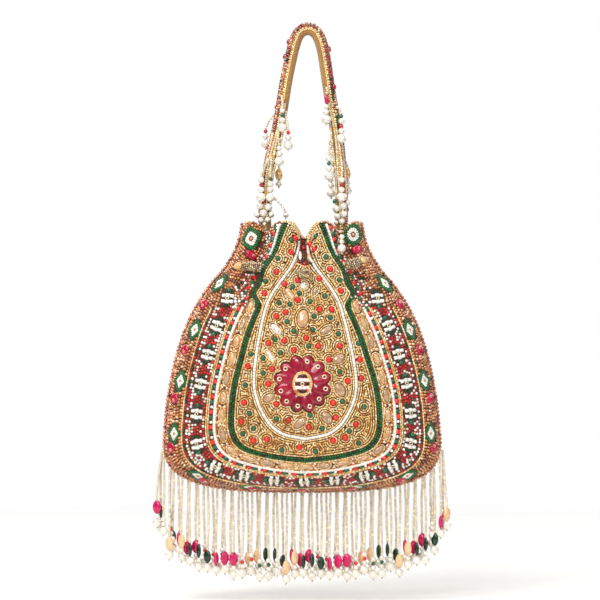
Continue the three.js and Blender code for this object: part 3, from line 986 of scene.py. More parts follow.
def vermicelli_field():
    """Distance of each place of the shield from the nearest line, bead, stone or petal."""
    grid_x, grid_z = np.meshgrid(FIELD_X, FIELD_Z)
    points = np.stack([grid_x.ravel(), grid_z.ravel()], 1)
    discs = [(*spot, RED_RADIUS - SUNK) for spot in ROUND_RED]
    discs += [(*spot, GREEN_RADIUS - SUNK) for spot in ROUND_GREEN]
    discs.append((*FLOWER, PETAL_REACH))
    ovals = [(x, z, angle, half_length - 0.35, half_width - 0.35)
             for x, z, angle, half_length, half_width, _ in STONES]
    for k in range(PETALS):
        turn = 2 * math.pi * (k + 0.5) / PETALS
        ovals.append((FLOWER[0] + PETAL_REACH * math.cos(turn),
                      FLOWER[1] + PETAL_REACH * math.sin(turn), math.degrees(turn),
                      PETAL_HALF_LENGTH + 0.1, PETAL_HALF_WIDTH + 0.1))
    field = np.minimum(distance_to_line(points, GREEN_SPOTS) - GREEN_LINE_HALF,
                       distance_to_line(points, WHITE_SPOTS) - WHITE_LINE_HALF)
    field = np.minimum(field, RIM_Z - points[:, 1] - 0.1)
    for x, z, radius in discs:
        field = np.minimum(field, np.hypot(points[:, 0] - x, points[:, 1] - z) - radius)
    for oval in ovals:
        field = np.minimum(field, oval_distance(points, *oval))
    levels = GREEN_HALF[:, 1]
    half = np.interp(points[:, 1], levels, GREEN_HALF[:, 0])
    outside = np.abs(points[:, 0] - centre_line(points[:, 1])) > half
    outside |= (points[:, 1] < levels[0]) | (points[:, 1] > RIM_Z)
    white = np.interp(points[:, 1], WHITE_HALF[:, 1], WHITE_HALF[:, 0])
    middle = np.abs(points[:, 0] - centre_line(points[:, 1])) < white
    outside |= middle & (points[:, 1] > RECESS_Z)
    field[outside] = -1
    return field.reshape(grid_x.shape)


def contours(field, level):
    """Marching squares: lines where the field has a level, as grid places (column, row)."""
    rows, columns = field.shape
    inside = field > level
    a, b = inside[:-1, :-1], inside[:-1, 1:]
    c, d = inside[1:, 1:], inside[1:, :-1]
    case = a + 2 * b + 4 * c + 8 * d
    size = rows * columns
    # Sides of a cell that a line joins, for each case: 0 below, 1 right, 2 above, 3 left
    joins = {1: [(3, 0)], 2: [(0, 1)], 3: [(3, 1)], 4: [(1, 2)], 5: [(3, 0), (1, 2)],
             6: [(0, 2)], 7: [(3, 2)], 8: [(2, 3)], 9: [(0, 2)], 10: [(0, 1), (2, 3)],
             11: [(1, 2)], 12: [(1, 3)], 13: [(0, 1)], 14: [(3, 0)]}
    links = {}
    for number, pairs in joins.items():
        i, j = np.nonzero(case == number)
        sides = (i * columns + j, size + i * columns + j + 1,
                 (i + 1) * columns + j, size + i * columns + j)
        for first, second in pairs:
            for p, q in zip(sides[first].tolist(), sides[second].tolist()):
                links.setdefault(p, []).append(q)
                links.setdefault(q, []).append(p)

    def place(side):
        upright, cell = divmod(side, size)
        i, j = divmod(cell, columns)
        other = field[i + 1, j] if upright else field[i, j + 1]
        share = (level - field[i, j]) / (other - field[i, j])
        return (j, i + share) if upright else (j + share, i)

    lines, seen = [], set()
    for start in sorted(links, key=lambda s: (len(links[s]) != 1, s)):
        if start in seen:
            continue
        line, here = [start], start
        seen.add(start)
        while True:
            onward = [s for s in links[here] if s not in seen]
            if not onward:
                break
            here = onward[0]
            seen.add(here)
            line.append(here)
        if len(line) > 2 and start in links[line[-1]]:
            line.append(start)
        lines.append(np.array([place(s) for s in line]))
    return lines


def vermicelli_lines():
    """Every row of the gold filling, as spots of the flat pattern."""
    field = vermicelli_field()
    found = []
    level = GOLD_PITCH * 0.5
    while level < field.max():
        for line in contours(field, level):
            spots = np.stack([FIELD_X[0] + line[:, 0] * FIELD_STEP,
                              FIELD_Z[0] + line[:, 1] * FIELD_STEP], 1)
            if lengths_along(spots)[-1] > SHORTEST_ROW:
                found.append(spots)
        level += GOLD_PITCH
    return found, gaps_between_rows(field)


def gaps_between_rows(field):
    """Places and radii for single gold seeds on the crests left between the innermost rows."""
    slope = np.hypot(*np.gradient(field, FIELD_STEP))
    room = np.where(field > GOLD_PITCH / 2, (field - GOLD_PITCH / 2) % GOLD_PITCH, field + 0.2)
    rows, columns = np.nonzero((slope < 0.8) & (room > 0.8) & (field > 0.25))
    order = np.argsort(-room[rows, columns], kind="stable")
    taken, out = set(), []
    for i, j in zip(rows[order].tolist(), columns[order].tolist()):
        if any((i + di, j + dj) in taken for di in range(-3, 4) for dj in range(-3, 4)):
            continue
        taken.add((i, j))
        radius = min(room[i, j] - 0.35, 0.8)
        out.append((FIELD_X[0] + j * FIELD_STEP, FIELD_Z[0] + i * FIELD_STEP, radius))
    return np.array(out)


VERMICELLI, VERMICELLI_SEEDS = vermicelli_lines()


def gold_row(beads, spots, side, colours=GOLD_MIX, pitch=2.5, thick=0.56):
    """Bugles laid end to end along a line, each a little off its direction and height."""
    length = lengths_along(spots)[-1]
    position, normal, along, _ = spaced(spots, side, min(pitch, max(length / 3, 1.1)), 0.1)
    count = len(position)
    step = lengths_along(on_panel(spots, side)[0])[-1] / count
    height = 2.0 * thick * (1 + 0.08 * RANDOM.standard_normal(count)).clip(0.8, 1.2)
    size = np.stack([np.full(count, step * 0.5), np.full(count, thick), height], 1)
    wobble = along + 0.04 * RANDOM.standard_normal((count, 3))
    beads.add("bugle", "metal", position, normal, wobble, size, mixed(count, colours, 0.06))


def line_of(beads, spots, side, pitch, form, material, half, height, colours, lift=0.1):
    """Beads threaded side by side along a line."""
    position, normal, along, _ = spaced(spots, side, pitch, lift)
    beads.add(form, material, position, normal, along, (pitch * 0.51, half, height),
              mixed(len(position), colours, 0.08))


def offset_line(spots, by):
    """The line moved sideways in the pattern's plane."""
    return spots + by * left_of(unit(np.gradient(spots, axis=0)))


def shield(side, name):
    """All beads inside and on the green line."""
    gold = Beads()
    for spots in VERMICELLI:
        level = spots[:, 1].mean()
        mix = CREST_MIX if level > CREST_Z else LOW_MIX if level < LOW_Z else GOLD_MIX
        gold_row(gold, pulled(spots), side, mix)
    position, normal = on_panel(pulled(VERMICELLI_SEEDS[:, :2]), side, 0.1)
    size = VERMICELLI_SEEDS[:, 2:] * np.array([[1, 1, 1.3]])
    gold.add("seed", "metal", position, normal, UP, size, mixed(len(size), GOLD_MIX, 0.06))
    gold.make(f"{name}_gold_filling", "bag", "beaded_panel")

    beads = Beads()
    for by in (-GREEN_ASIDE, GREEN_ASIDE):
        line_of(beads, pulled(offset_line(GREEN_SPOTS, by)), side, 1.9, "seed", "glass", 0.95,
                1.3, {"green": 5, "bottle": 1.6, "emerald": 0.7})
    line_of(beads, pulled(WHITE_SPOTS), side, 2.3, "bugle", "glass", WHITE_LINE_HALF, 1.5,
            {"white": 1})
    for spots, colour, radius in ((ROUND_RED, "coral", RED_RADIUS),
                                  (ROUND_GREEN, "emerald", GREEN_RADIUS)):
        position, normal = on_panel(pulled(np.array(spots, float)), side, 0.6)
        beads.add("round", "glass", position, normal, (1, 0, 0.3), radius,
                  mixed(len(spots), {colour: 1}))
    for x, z, angle, half_length, half_width, kind in STONES:
        patch = Patch(pulled(np.array([[x, z]], float))[0], side, angle)
        sewn_stone(beads, patch, half_length * 0.94, half_width * 0.94, kind)
    flower(beads, side)
    recess(beads, side)
    beads.make(f"{name}_shield_beads", "bag", "beaded_panel")


def recess(beads, side):
    """Seeds in dark colours, as painted shade of the deep pleat, and a few stones in the middle
    pleat.
    """
    patches = []
    for x, z, angle, half_length, half_width, form, material, colour in RECESS_BEADS:
        patch = Patch((x, z), side, angle)
        patch.bead(beads, form, material, (half_length, half_width, half_width * 0.8), colour,
                   lift=0.3)
        patches.append((patch, half_length + 0.8, half_width + 0.8))
    levels, places = np.arange(-173, RECESS_TOP, 1.9), np.arange(-12, 16, 1.9)
    spots = np.array([(x, z) for z in levels for x in places])
    spots = spots + 0.2 * RANDOM.standard_normal(spots.shape)
    half = 2.2 + 0.33 * (RECESS_TOP - spots[:, 1])
    spots = spots[np.abs(spots[:, 0] - RECESS_X) < half]
    position, normal = on_panel(spots, side, 0.0)
    kept = keep_clear(position, patches)
    # The seeds' dark browns, garnet and bottle green paint the shade of the deep pleat in place of
    # its gold field.
    colour, _ = choose(len(spots), {"brown": 4, "copper": 2, "garnet": 2, "bottle": 1.5})
    beads.add("seed", "lined_glass", position[kept], normal[kept], UP, (0.95, 0.95, 1.0),
              colour[kept])


# ---- border of the panels

# Rows lie at shares of the way from the green line, 0, out to the bag's outline, 1
STONE_ROW, WHITE_ROW, ROUND_ROW = 0.128, 0.222, 0.264
GOLD_ROWS = (0.05, 0.303, 0.33, 0.668)
MOTIF_ROW, LOZENGE_ROW, GEM_ROW = 0.47, 0.80, 0.865
FILL_STEP, BORDER_STEP = 0.0385, 0.0565     # from one row of filling to the next
HIGHEST_MOTIF, HIGHEST_LOZENGE = -196.0, -184.5     # levels where the two rows start
OUTER_FILL = 13           # from this row of the motif band outward the chequer is regular
MOTIF_PITCH, ACCENT_PITCH, STONE_PITCH = 22.0, 19.2, 14.2
# Filling: rows of the red and white band, the dark dashes, the copper rows, and the collar
BAND_FIRST, BAND_ROWS = 0.366, 7
DASH_ROW, DASH_STEP = 0.636, 0.034
OUTER_FIRST, OUTER_ROWS = 0.70, 6
COLLAR_ROWS = range(2, 18)
AMBER_ROWS = (0.075, 0.1, 0.125, 0.15, 0.175, 0.198)
COLLAR_WHITE_ROW, COLLAR_WHITE_Z = 0.075, -165.0
COLLAR_ROUND_ROW = 0.145
# Half length and half width of the accents, and the room kept clear of fill about them
LOZENGE_SIZE, LOZENGE_ROOM = (8.2, 6.4), (8.6, 6.6)
GEM_SIZE, GEM_ROOM = (4.3, 4.2), (4.7, 4.7)
MOTIF_ROOM, STONE_ROOM = (7.8, 5.9), (6.6, 3.4)
SEED_PITCH = 2.3          # of the filling's seed beads along a row
PICOT_PITCH = 2.905       # of the loops along the seam
DOUBLED_GAP = 1.5         # rows closer than this are merged two by two
OUTER_LOBES = 0.45        # share of the way out where the collar's lobes turn copper
BAND_MIX = {"garnet": 5, "white": 1.5, "peach": 1.6, "copper": 1.2, "green": 0.2, "coral": 1}
COPPER_MIX = {"copper": 6, "peach": 2.2, "brown": 1.8, "amber": 1.5}
LOBE_MIX = {"copper": 6, "peach": 2, "brown": 1.8, "amber": 1.8}
PLEAT_MIX = {"garnet": 1.6, "white": 3, "bottle": 1.5, "brown": 1.5, "copper": 3, "peach": 1.5}


def patches_along(row, side, pitch, highest):
    """Patches at even steps along a row, from a level on the left to the same on the right."""
    row = row[row[:, 1] <= highest]
    length = lengths_along(on_panel(row, side)[0])[-1]
    steps = 2 * int(round(length / pitch / 2))
    *_, along, spots = spaced(row, side, length / steps, offset=0.0)
    ends = [(row[0], row[1] - row[0]), (row[-1], row[-1] - row[-2])]
    first, last = (Patch(spot, side, angle=math.degrees(math.atan2(way[1], way[0])))
                   for spot, way in ends)
    inner = [Patch(spot, side, along=way) for spot, way in zip(spots[1:], along[1:])]
    return [first, *inner, last]


def below_notch(spots):
    """True for spots of the border proper, false for those of the collar."""
    return spots[:, 1] < NOTCH_Z


def bead_row(beads, share, side, gap_share, pitch, chooser, clear, keep=below_notch):
    """One row of seed beads whose width follows the gap between rows."""
    row = BORDER.row(share)
    number = int(round(share / gap_share))
    *_, along, spots = spaced(row, side, pitch, offset=0.25 + 0.5 * (number % 2))
    spots = spots + 0.16 * RANDOM.standard_normal(spots.shape)
    position, normal = on_panel(spots, side)
    gap = BORDER.reach_at(row, spots) * gap_share
    doubled = gap < DOUBLED_GAP
    kept = keep(spots) & keep_clear(position, clear) & (~doubled | (number % 2 == 0))
    gap = np.where(doubled, gap * 2, gap)
    colour, lined = chooser(spots, number)
    size = np.stack([np.full(len(gap), pitch * 0.475), gap * 0.475, 0.45 * gap + 0.1], 1)
    size *= (1 + 0.08 * RANDOM.standard_normal((len(gap), 1))).clip(0.8, 1.15)
    wobble = along + 0.12 * RANDOM.standard_normal(along.shape)
    beads.seeds(*(part[kept] for part in (position, normal, wobble, size, colour, lined)))


def fill(mix):
    """Chooses colours of a row's beads from one mix."""
    return lambda spots, number: choose(len(spots), mix)


def motif_fill(motifs):
    """Red and white chequers with red clusters half way between the striped ovals."""
    middles = np.array([(a.position + b.position) / 2 for a, b in zip(motifs, motifs[1:])])

    def chooser(spots, number):
        count = len(spots)
        colour, lined = choose(count, BAND_MIX)
        white = mixed(count, {"white": 1}, 0.05)
        often = 0.9 if number > OUTER_FILL else 0.55
        chequer = ((np.arange(count) + number) % 2 == 0) & (RANDOM.random(count) < often)
        position, _ = on_panel(spots, motifs[0].side)
        away = np.linalg.norm(position[:, None] - middles, axis=2).min(axis=1)
        cluster = (away < 4.0) & (RANDOM.random(count) < 0.75)
        red = mixed(count, {"garnet": 3, "coral": 1}, 0.12)
        colour[chequer] = white[chequer]
        colour[cluster] = red[cluster]
        lined[chequer | cluster] = False
        return colour, lined

    return chooser


def dark_dashes(spots, number):
    """Three garnet beads, then three dark ones."""
    count = len(spots)
    garnet = mixed(count, {"garnet": 1}, 0.12)
    dark = mixed(count, {"bottle": 1, "black": 1}, 0.12)
    dash = (np.arange(count) // 3 % 2 == 0)[:, None]
    return np.where(dash, garnet, dark), np.zeros(count, bool)


def lobe_flower(beads, patch, corner):
    """Green ring about white beads and a copper middle; corner makes the ring four-sided."""
    fine = np.linspace(0, 2 * math.pi, 121)
    reach = 1 + corner * np.cos(4 * fine)
    ring = np.stack([reach * np.cos(fine), reach * np.sin(fine)], 1)
    for radius, colour in ((7.6, "green"), (6.2, "green"), (4.3, "white"), (2.9, "white"),
                           (1.4, "brown")):
        seed_ring(beads, patch, ring * radius, 1.8, 3, 0.97, 1.15, colour)
    patch.bead(beads, "seed", "lined_glass", (1.1, 1.1, 1.3), "peach", lift=0.3)


def stone_band(beads, side):
    """Long shell stones end to end on rows of amber bugles, with small pearls between."""
    patches = patches_along(BORDER.row(STONE_ROW), side, STONE_PITCH, NOTCH_Z + 1)
    clear = [(patch, *STONE_ROOM) for patch in patches]
    for share in AMBER_ROWS:
        row = BORDER.row(share)
        position, normal, along, _ = spaced(row[below_notch(row)], side, 2.5, 0.05)
        kept = keep_clear(position, clear)
        beads.add("bugle", "metal", position[kept], normal[kept], along[kept],
                  (1.2, 0.6, 1.0), mixed(kept.sum(), {"amber": 3, "copper": 2, "gold": 1.5}))
    for k, patch in enumerate(patches):
        kind = "smoky" if k % 3 == 1 else "peach"
        longer = 1 + 0.14 * math.sin(2.3 * k)
        sewn_stone(beads, patch, 5.0 * longer, 2.1 / longer, kind, hole=0.4 if k % 4 == 1 else 0)
        gold_ring(beads, patch, 5.7 * longer, 2.8 / longer, 2.2, 0.5)
        patch.bead(beads, "round", "pearl", 1.0, "blush", [STONE_PITCH / 2] * 2, [1.8, -1.8], 0.3)
        patch.bead(beads, "round", "pearl", 0.95, "blush", 0.0, 4.2 * side, 0.2)


def in_turn(beads, line, side, pitch, lift, kinds):
    """Beads of several kinds, each (colour, radius), in turn along a line."""
    position, normal, along, _ = spaced(line, side, pitch, lift)
    for k, (colour, radius) in enumerate(kinds):
        pick = np.arange(len(position)) % len(kinds) == k
        beads.add("round" if radius > 1.5 else "seed", "glass", position[pick], normal[pick],
                  along[pick], radius, mixed(pick.sum(), {colour: 1}))


def halves(share, keep):
    """Left and right part of a row, where keep holds."""
    row = BORDER.row(share)
    return [half[keep(half)] for half in np.split(row, [len(row) // 2])]


def motif_band(beads, motifs):
    """Striped ovals, each with a green bead at one end."""
    for k, patch in enumerate(motifs):
        striped_oval(beads, patch, ["bottle", "white", "black", "white", "bottle"], 2.7,
                     [2.4, 4.7, 3.3, 4.7, 2.8], bend=0.5)
        patch.bead(beads, "round", "glass", (1.75, 1.9, 1.7), "emerald",
                   6.6 if k % 2 else -6.6, 0, 0.4)


# Motifs of the collar's two lobes: spot, angle, room kept clear, and how they are drawn
COLLAR_MOTIFS = [
    ((-38.5, -152), -70, (7.9, 7.9), lobe_flower, 0.11),
    ((38.5, -149), 80, (7.9, 7.9), lobe_flower, 0.03),
    ((-37.5, -164.5), -35, (5.2, 3.4), gem, 4.9, 2.9),
    ((42, -160), 15, (5.2, 3.4), gem, 4.4, 3.4),
    ((-48.6, -172), 8, (4.2, 3.2), sewn_stone, 3.8, 2.8, "gold", 0),
    ((47.5, -167.5), 18, (4.2, 3.2), sewn_stone, 3.8, 2.8, "gold", 0),
]


def border(side, name):
    """Everything between the green line and the seam."""
    motifs = patches_along(BORDER.row(MOTIF_ROW), side, MOTIF_PITCH, HIGHEST_MOTIF)
    lozenges, gems = [
        patches_along(BORDER.row(share), side, ACCENT_PITCH, HIGHEST_LOZENGE)[first::2]
        for share, first in ((LOZENGE_ROW, 0), (GEM_ROW, 1))
    ]
    lobes = [(Patch(spot, side, angle), *rest) for spot, angle, *rest in COLLAR_MOTIFS]
    clear = [
        (patch, *room)
        for patches, room in ((motifs, MOTIF_ROOM), (lozenges, LOZENGE_ROOM), (gems, GEM_ROOM))
        for patch in patches
    ]
    clear += [(patch, *room) for patch, room, *_ in lobes]

    details = Beads()
    for patch in lozenges:
        diamond(details, patch, *LOZENGE_SIZE)
    for patch in gems:
        gem(details, patch, *GEM_SIZE)
    for patch, _, draw, *values in lobes:
        draw(details, patch, *values)
    motif_band(details, motifs)
    stone_band(details, side)
    rounds = BORDER.row(ROUND_ROW)
    in_turn(details, rounds[below_notch(rounds)], side, 3.8, 0.4,
            [("coral", 1.95), ("emerald", 1.7), ("white", 1.2)])
    for share in GOLD_ROWS:
        for half in halves(share, below_notch):
            gold_row(details, half, side, pitch=2.4, thick=0.6)
    white = BORDER.row(WHITE_ROW)
    line_of(details, white[below_notch(white)], side, 2.1, "bugle", "glass", 1.3, 1.6,
            {"white": 1})
    collar_lines(details, side)
    details.make(f"{name}_border_details", "bag", "beaded_panel")

    beads = Beads()
    band = motif_fill(motifs)
    for k in range(BAND_ROWS):
        bead_row(beads, BAND_FIRST + k * FILL_STEP, side, FILL_STEP, SEED_PITCH, band, clear)
    bead_row(beads, DASH_ROW, side, DASH_STEP, 2.0, dark_dashes, clear)
    for k in range(OUTER_ROWS):
        bead_row(beads, OUTER_FIRST + k * BORDER_STEP, side, BORDER_STEP, SEED_PITCH,
                 fill(COPPER_MIX), clear)
    for k in COLLAR_ROWS:
        share = k * BORDER_STEP
        mix = PLEAT_MIX if share < OUTER_LOBES else LOBE_MIX
        bead_row(beads, share, side, BORDER_STEP, SEED_PITCH, fill(mix), clear,
                 lambda spots: ~below_notch(spots))
    beads.make(f"{name}_border_fill", "bag", "beaded_panel")


def collar_lines(beads, side):
    """Short white line and the alternating round beads beside the green line's upper end."""
    for half in halves(COLLAR_WHITE_ROW, lambda spots: spots[:, 1] > COLLAR_WHITE_Z):
        line_of(beads, half, side, 2.6, "bugle", "glass", 1.0, 1.6, {"white": 1})
    for half in halves(COLLAR_ROUND_ROW, lambda spots: spots[:, 1] > NOTCH_Z + 4):
        in_turn(beads, half, side, 4.6, 0.6, [("emerald", 1.75), ("coral", 1.75)])


def picot_edge():
    """Copper beads in small loops all round the seam."""
    line = both_sides(outline_half(), 0)
    spots, wanted, along = evenly(line, PICOT_PITCH)
    ahead = unit(at_lengths(line, along, wanted + 0.3) - at_lengths(line, along, wanted - 0.3))
    outward = left_of(ahead)
    outward *= -np.sign(np.sum(outward * (np.array([0, -240]) - spots), axis=1))[:, None]
    position, up, way = (in_space(flat) for flat in (spots + outward * 0.75, outward, ahead))
    beads = Beads()
    beads.add("small_ball", "lined_glass", position, up, way, (1.3, 1.35, 1.3),
              choose(len(spots), {"copper": 5, "peach": 2, "brown": 2})[0])
    for side in (FRONT, BACK):
        shifted = position - up * 0.5 + np.array([0, side * 1.5, 0]) + way * 1.2
        beads.add("small_ball", "lined_glass", shifted, up, way, 1.0,
                  choose(len(spots), {"garnet": 2, "brown": 3, "copper": 3})[0])
    beads.make("picot_edge", "bag", "beaded_panel")


def rim_edge(side, name):
    """A row of beads over the raw edge of the rim."""
    across = np.linspace(-0.97, 0.97, 200)
    x = across * profile(np.array(RIM_Z))[0]
    spots = np.stack([x, RIM_Z - dip(across) + 0.3], 1)
    beads = Beads()
    for centre, reach, colours, form in (
        (0.0, 0.36, {"gold": 4, "cream": 2}, "bugle"),
        (0.68, 0.32, {"copper": 4, "peach": 2, "brown": 2}, "seed"),
        (-0.68, 0.32, {"copper": 4, "peach": 2, "brown": 2}, "seed"),
    ):
        part = spots[np.abs(across - centre) < reach]
        line_of(beads, part, side, 2.0, form, "lined_glass", 1.0, 1.5, colours, 0.0)
    beads.make(f"{name}_rim_edge", "bag", "beaded_panel")


# ---- strap

def strap_line():
    """Even points of the strap's centre line, with outward and forward directions."""
    line = catmull_rom(STRAP_PATH, 16)
    along = lengths_along(line)
    even = at_lengths(line, along, np.arange(0, along[-1], 0.75))
    ahead = unit(np.gradient(even, axis=0))
    return even, left_of(ahead), ahead, lengths_along(even)


STRAP = strap_line()
SECTION_ROUND = 0.62      # below 1 makes the strap's section fuller than an ellipse


def strap_point(index, angle, grow=0.0):
    """Point of the strap's outside: angle 0 is the front edge, 90 degrees the outer face."""
    index, angle = np.broadcast_arrays(index, angle)
    c, s = np.cos(angle), np.sin(angle)
    across = -np.sign(c) * np.abs(c) ** SECTION_ROUND * (STRAP_WIDTH / 2 + grow)
    offset = np.sign(s) * np.abs(s) ** SECTION_ROUND * (STRAP_THICKNESS / 2 + grow)
    flat = STRAP[0][index] + STRAP[1][index] * offset[..., None]
    return np.stack([flat[..., 0], across, flat[..., 1]], -1)


def capped_run(rings):
    """Points, quads and end triangles of a closed run of rings."""
    rows, columns = rings.shape[:2]
    points = rings.reshape(-1, 3)
    tris = []
    for first, order in ((0, 1), ((rows - 1) * columns, -1)):
        points = np.vstack([points, points[first:first + columns].mean(0)])
        tris += [(first + k, first + (k + 1) % columns, len(points) - 1)[::order]
                 for k in range(columns)]
    return points, grid_quads(rows, columns, closed=True)[:, ::-1], tris


def strap_cloth(name, node, angles, slot):
    """One half of the strap's section, as a closed run from end to end."""
    index = np.arange(len(STRAP[0]))[:, None]
    points, quads, tris = capped_run(strap_point(index, angles[None], -0.35))
    cloth = Beads()
    cloth.surface(points, quads, "strap_cloth", "gold", tris)
    piece = cloth.make(name, "handle", slot, node)
    along = np.repeat(STRAP[3], len(angles))
    around = np.tile(np.arange(len(angles)) * 1.3, len(STRAP[3]))
    both = np.stack([along, around], 1)
    set_weave(piece, np.vstack([both, both[:1], both[-1:]]))
    return piece


def twisted_cord(beads, angle, grow, radius=0.5, pitch=3.4, sides=6):
    """Two gold plies twisted along the strap."""
    line, outward, _, lengths = STRAP
    index = np.arange(len(line))
    centre = strap_point(index, angle, grow)
    out = in_space(outward)
    aside = np.array([0, 1.0, 0])
    for ply in (0, math.pi):
        turn = (2 * math.pi * lengths / pitch + ply)[:, None]
        path = centre + 0.55 * radius * (np.cos(turn) * out + np.sin(turn) * aside)
        rings = [
            path + radius * (math.cos(around) * out + math.sin(around) * aside)
            for around in np.arange(sides) * 2 * math.pi / sides
        ]
        points, quads, tris = capped_run(np.stack(rings, 1))
        beads.surface(points, quads, "metal", "gold", tris)


STRAP_ROWS = 9
STRAP_PITCH = 1.9
CLUSTER_LENGTH = 13.0     # of one colour mix along the strap
STRAP_GEMS = (0.035, 0.12, 0.2, 0.3, 0.42, 0.455, 0.57, 0.66, 0.76, 0.88, 0.95)
STRAP_CLUSTERS = [
    {"copper": 3, "brown": 3, "garnet": 2}, {"bottle": 3, "green": 2, "black": 1},
    {"peach": 2, "copper": 3, "brown": 3}, {"copper": 3, "brown": 3, "garnet": 1},
    {"garnet": 3, "brown": 3, "black": 1}, {"copper": 3, "peach": 1, "amber": 2, "brown": 2},
]


def strap():
    """Padded cloth core with beads over its outer half and a twisted cord along each edge."""
    padding = strap_cloth("strap_padding", "strap_backing", np.linspace(-math.pi, 0, 22),
                          "strap_cloth")
    strap_cloth("strap_bead_ground", "strap_bead_face", np.linspace(0, math.pi, 22),
                "strap_beads")

    beads = Beads()
    line, _, ahead, lengths = STRAP
    count = int(lengths[-1] / STRAP_PITCH)
    cluster_of = RANDOM.integers(0, len(STRAP_CLUSTERS), 200)
    for row in range(STRAP_ROWS):
        angle = math.radians(6 + 168 * row / (STRAP_ROWS - 1))
        at = (np.arange(count) + 0.5 + 0.3 * (row % 2)) * STRAP_PITCH / lengths[-1]
        index = np.round(at * (len(line) - 1)).astype(int).clip(0, len(line) - 1)
        position = strap_point(index, angle, -0.3)
        across = strap_point(index, angle + 0.05, -0.3) - position
        way = in_space(ahead[index])
        up = np.cross(across, way)
        beyond = strap_point(index, angle, 0.7) - position
        up *= np.sign(np.sum(up * beyond, axis=1))[:, None]
        colour = np.zeros((count, 3))
        lined = np.zeros(count, bool)
        cluster = (lengths[index] / CLUSTER_LENGTH + 0.35 * row).astype(int)
        for value in np.unique(cluster):
            pick = cluster == value
            mix = STRAP_CLUSTERS[cluster_of[value + 7 * (row // 3)]]
            colour[pick], lined[pick] = choose(pick.sum(), mix)
        if row in (0, STRAP_ROWS - 1):
            pale, _ = choose(count, {"cream": 3, "champagne": 3, "gold": 2})
            beads.add("seed", "lined_glass", position, up, way, (0.9, 0.9, 1.1), pale)
        else:
            beads.seeds(position, up, way, (0.98, 1.02, 1.35), colour, lined)
    for share in STRAP_GEMS:
        index = np.array([int(share * (len(line) - 1))])
        angle = np.radians(55 + 70 * (index % 3) / 2)
        position = strap_point(index, angle, 0.2)
        beads.add("gem", "gem", position, strap_point(index, angle, 1.2) - position,
                  in_space(ahead[index]), (2.4, 1.8, 1.9), "magenta")
    beads.make("strap_beads", "handle", "strap_beads")

    cords = Beads()
    for angle in (0.0, math.pi):
        twisted_cord(cords, angle, -0.1)
    cords.make("strap_piping", "handle", "strap_cloth")


# Strings along each leg of the strap: place across it, highest and lowest level
STRAP_STRINGS = [(-3.4, -56, -134), (-1.1, -50, -138), (1.3, -62, -138), (3.6, -74, -134)]
# Pearls tied in at the strap's feet: x, z, radius, colour
FOOT_PEARLS = [
    (-31.4, -127.6, 2.6, "pearl"), (-25.2, -128.4, 2.8, "pearl"), (-28.2, -124.4, 1.6, "garnet"),
    (-28.8, -133.0, 2.9, "pearl"), (-23.0, -134.0, 2.1, "pearl"), (-33.8, -134.0, 2.0, "pearl"),
    (-25.6, -137.8, 2.2, "pearl"), (-30.8, -138.2, 2.2, "pearl"), (-28.2, -141.2, 1.5, "pearl"),
    (30.9, -127.6, 2.8, "pearl"), (25.6, -129.6, 2.6, "pearl"), (31.2, -133.8, 2.6, "pearl"),
    (24.6, -124.0, 1.6, "emerald"), (34.3, -125.0, 1.9, "pearl"), (26.6, -135.4, 2.3, "pearl"),
    (29.8, -139.2, 2.3, "pearl"), (25.6, -140.0, 1.6, "pearl"),
]
STRING_FORWARD, PEARL_FORWARD = 7.4, 7.2     # from the strap's middle, to the front and back
STRING_PITCH = 1.7


def strap_strings():
    """Seed bead strings that lie along the lower half of each leg, and pearls at the feet."""
    line, outward, _, _ = STRAP
    crown = int(np.argmax(line[:, 1]))
    beads = Beads()
    for leg in (slice(0, crown), slice(crown, len(line))):
        order = np.argsort(line[leg, 1])
        centre, out = line[leg][order], outward[leg][order]
        for offset, top, bottom in STRAP_STRINGS:
            for side in (FRONT, BACK):
                levels = np.arange(bottom, top, STRING_PITCH)
                at = at_lengths(np.hstack([centre, out]), centre[:, 1], levels)
                sway = 0.4 * np.sin(levels * 0.13 + offset)
                reach = (STRING_FORWARD - 0.12 * offset * offset
                         + 0.25 * np.sin(levels * 0.2 + offset))
                flat = at[:, :2] + at[:, 2:] * (offset + sway)[:, None]
                position = in_space(flat, side * reach)
                way = unit(np.gradient(position, axis=0))
                colour, _ = choose(len(levels), {"champagne": 5, "cream": 2, "gold": 2})
                beads.add("barrel", "glass", position, (0, side, 0), way,
                          (0.85, 0.9, 0.9), colour)
    for x, z, radius, colour in FOOT_PEARLS:
        for side in (FRONT, BACK):
            material = "pearl" if colour == "pearl" else "glass"
            beads.add("pearl", material, (x, side * (PEARL_FORWARD + 0.5 * radius), z), UP,
                      SIDEWAYS, radius, colour)
    # The short string that slants from the left foot towards the mouth
    hang(beads, -12.2, -7.5, -137.6, -122, ["pearl"], lean=(-9.2, 0.6))
    beads.make("strap_strings", "handle", "strand_beads")


# ---- drawstring loops

def span(node):
    """A node's middle across and in depth, and its lowest and highest level."""
    low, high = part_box(node)
    return [(low.x + high.x) / 2 / MM, (low.y + high.y) / 2 / MM, low.z / MM, high.z / MM]


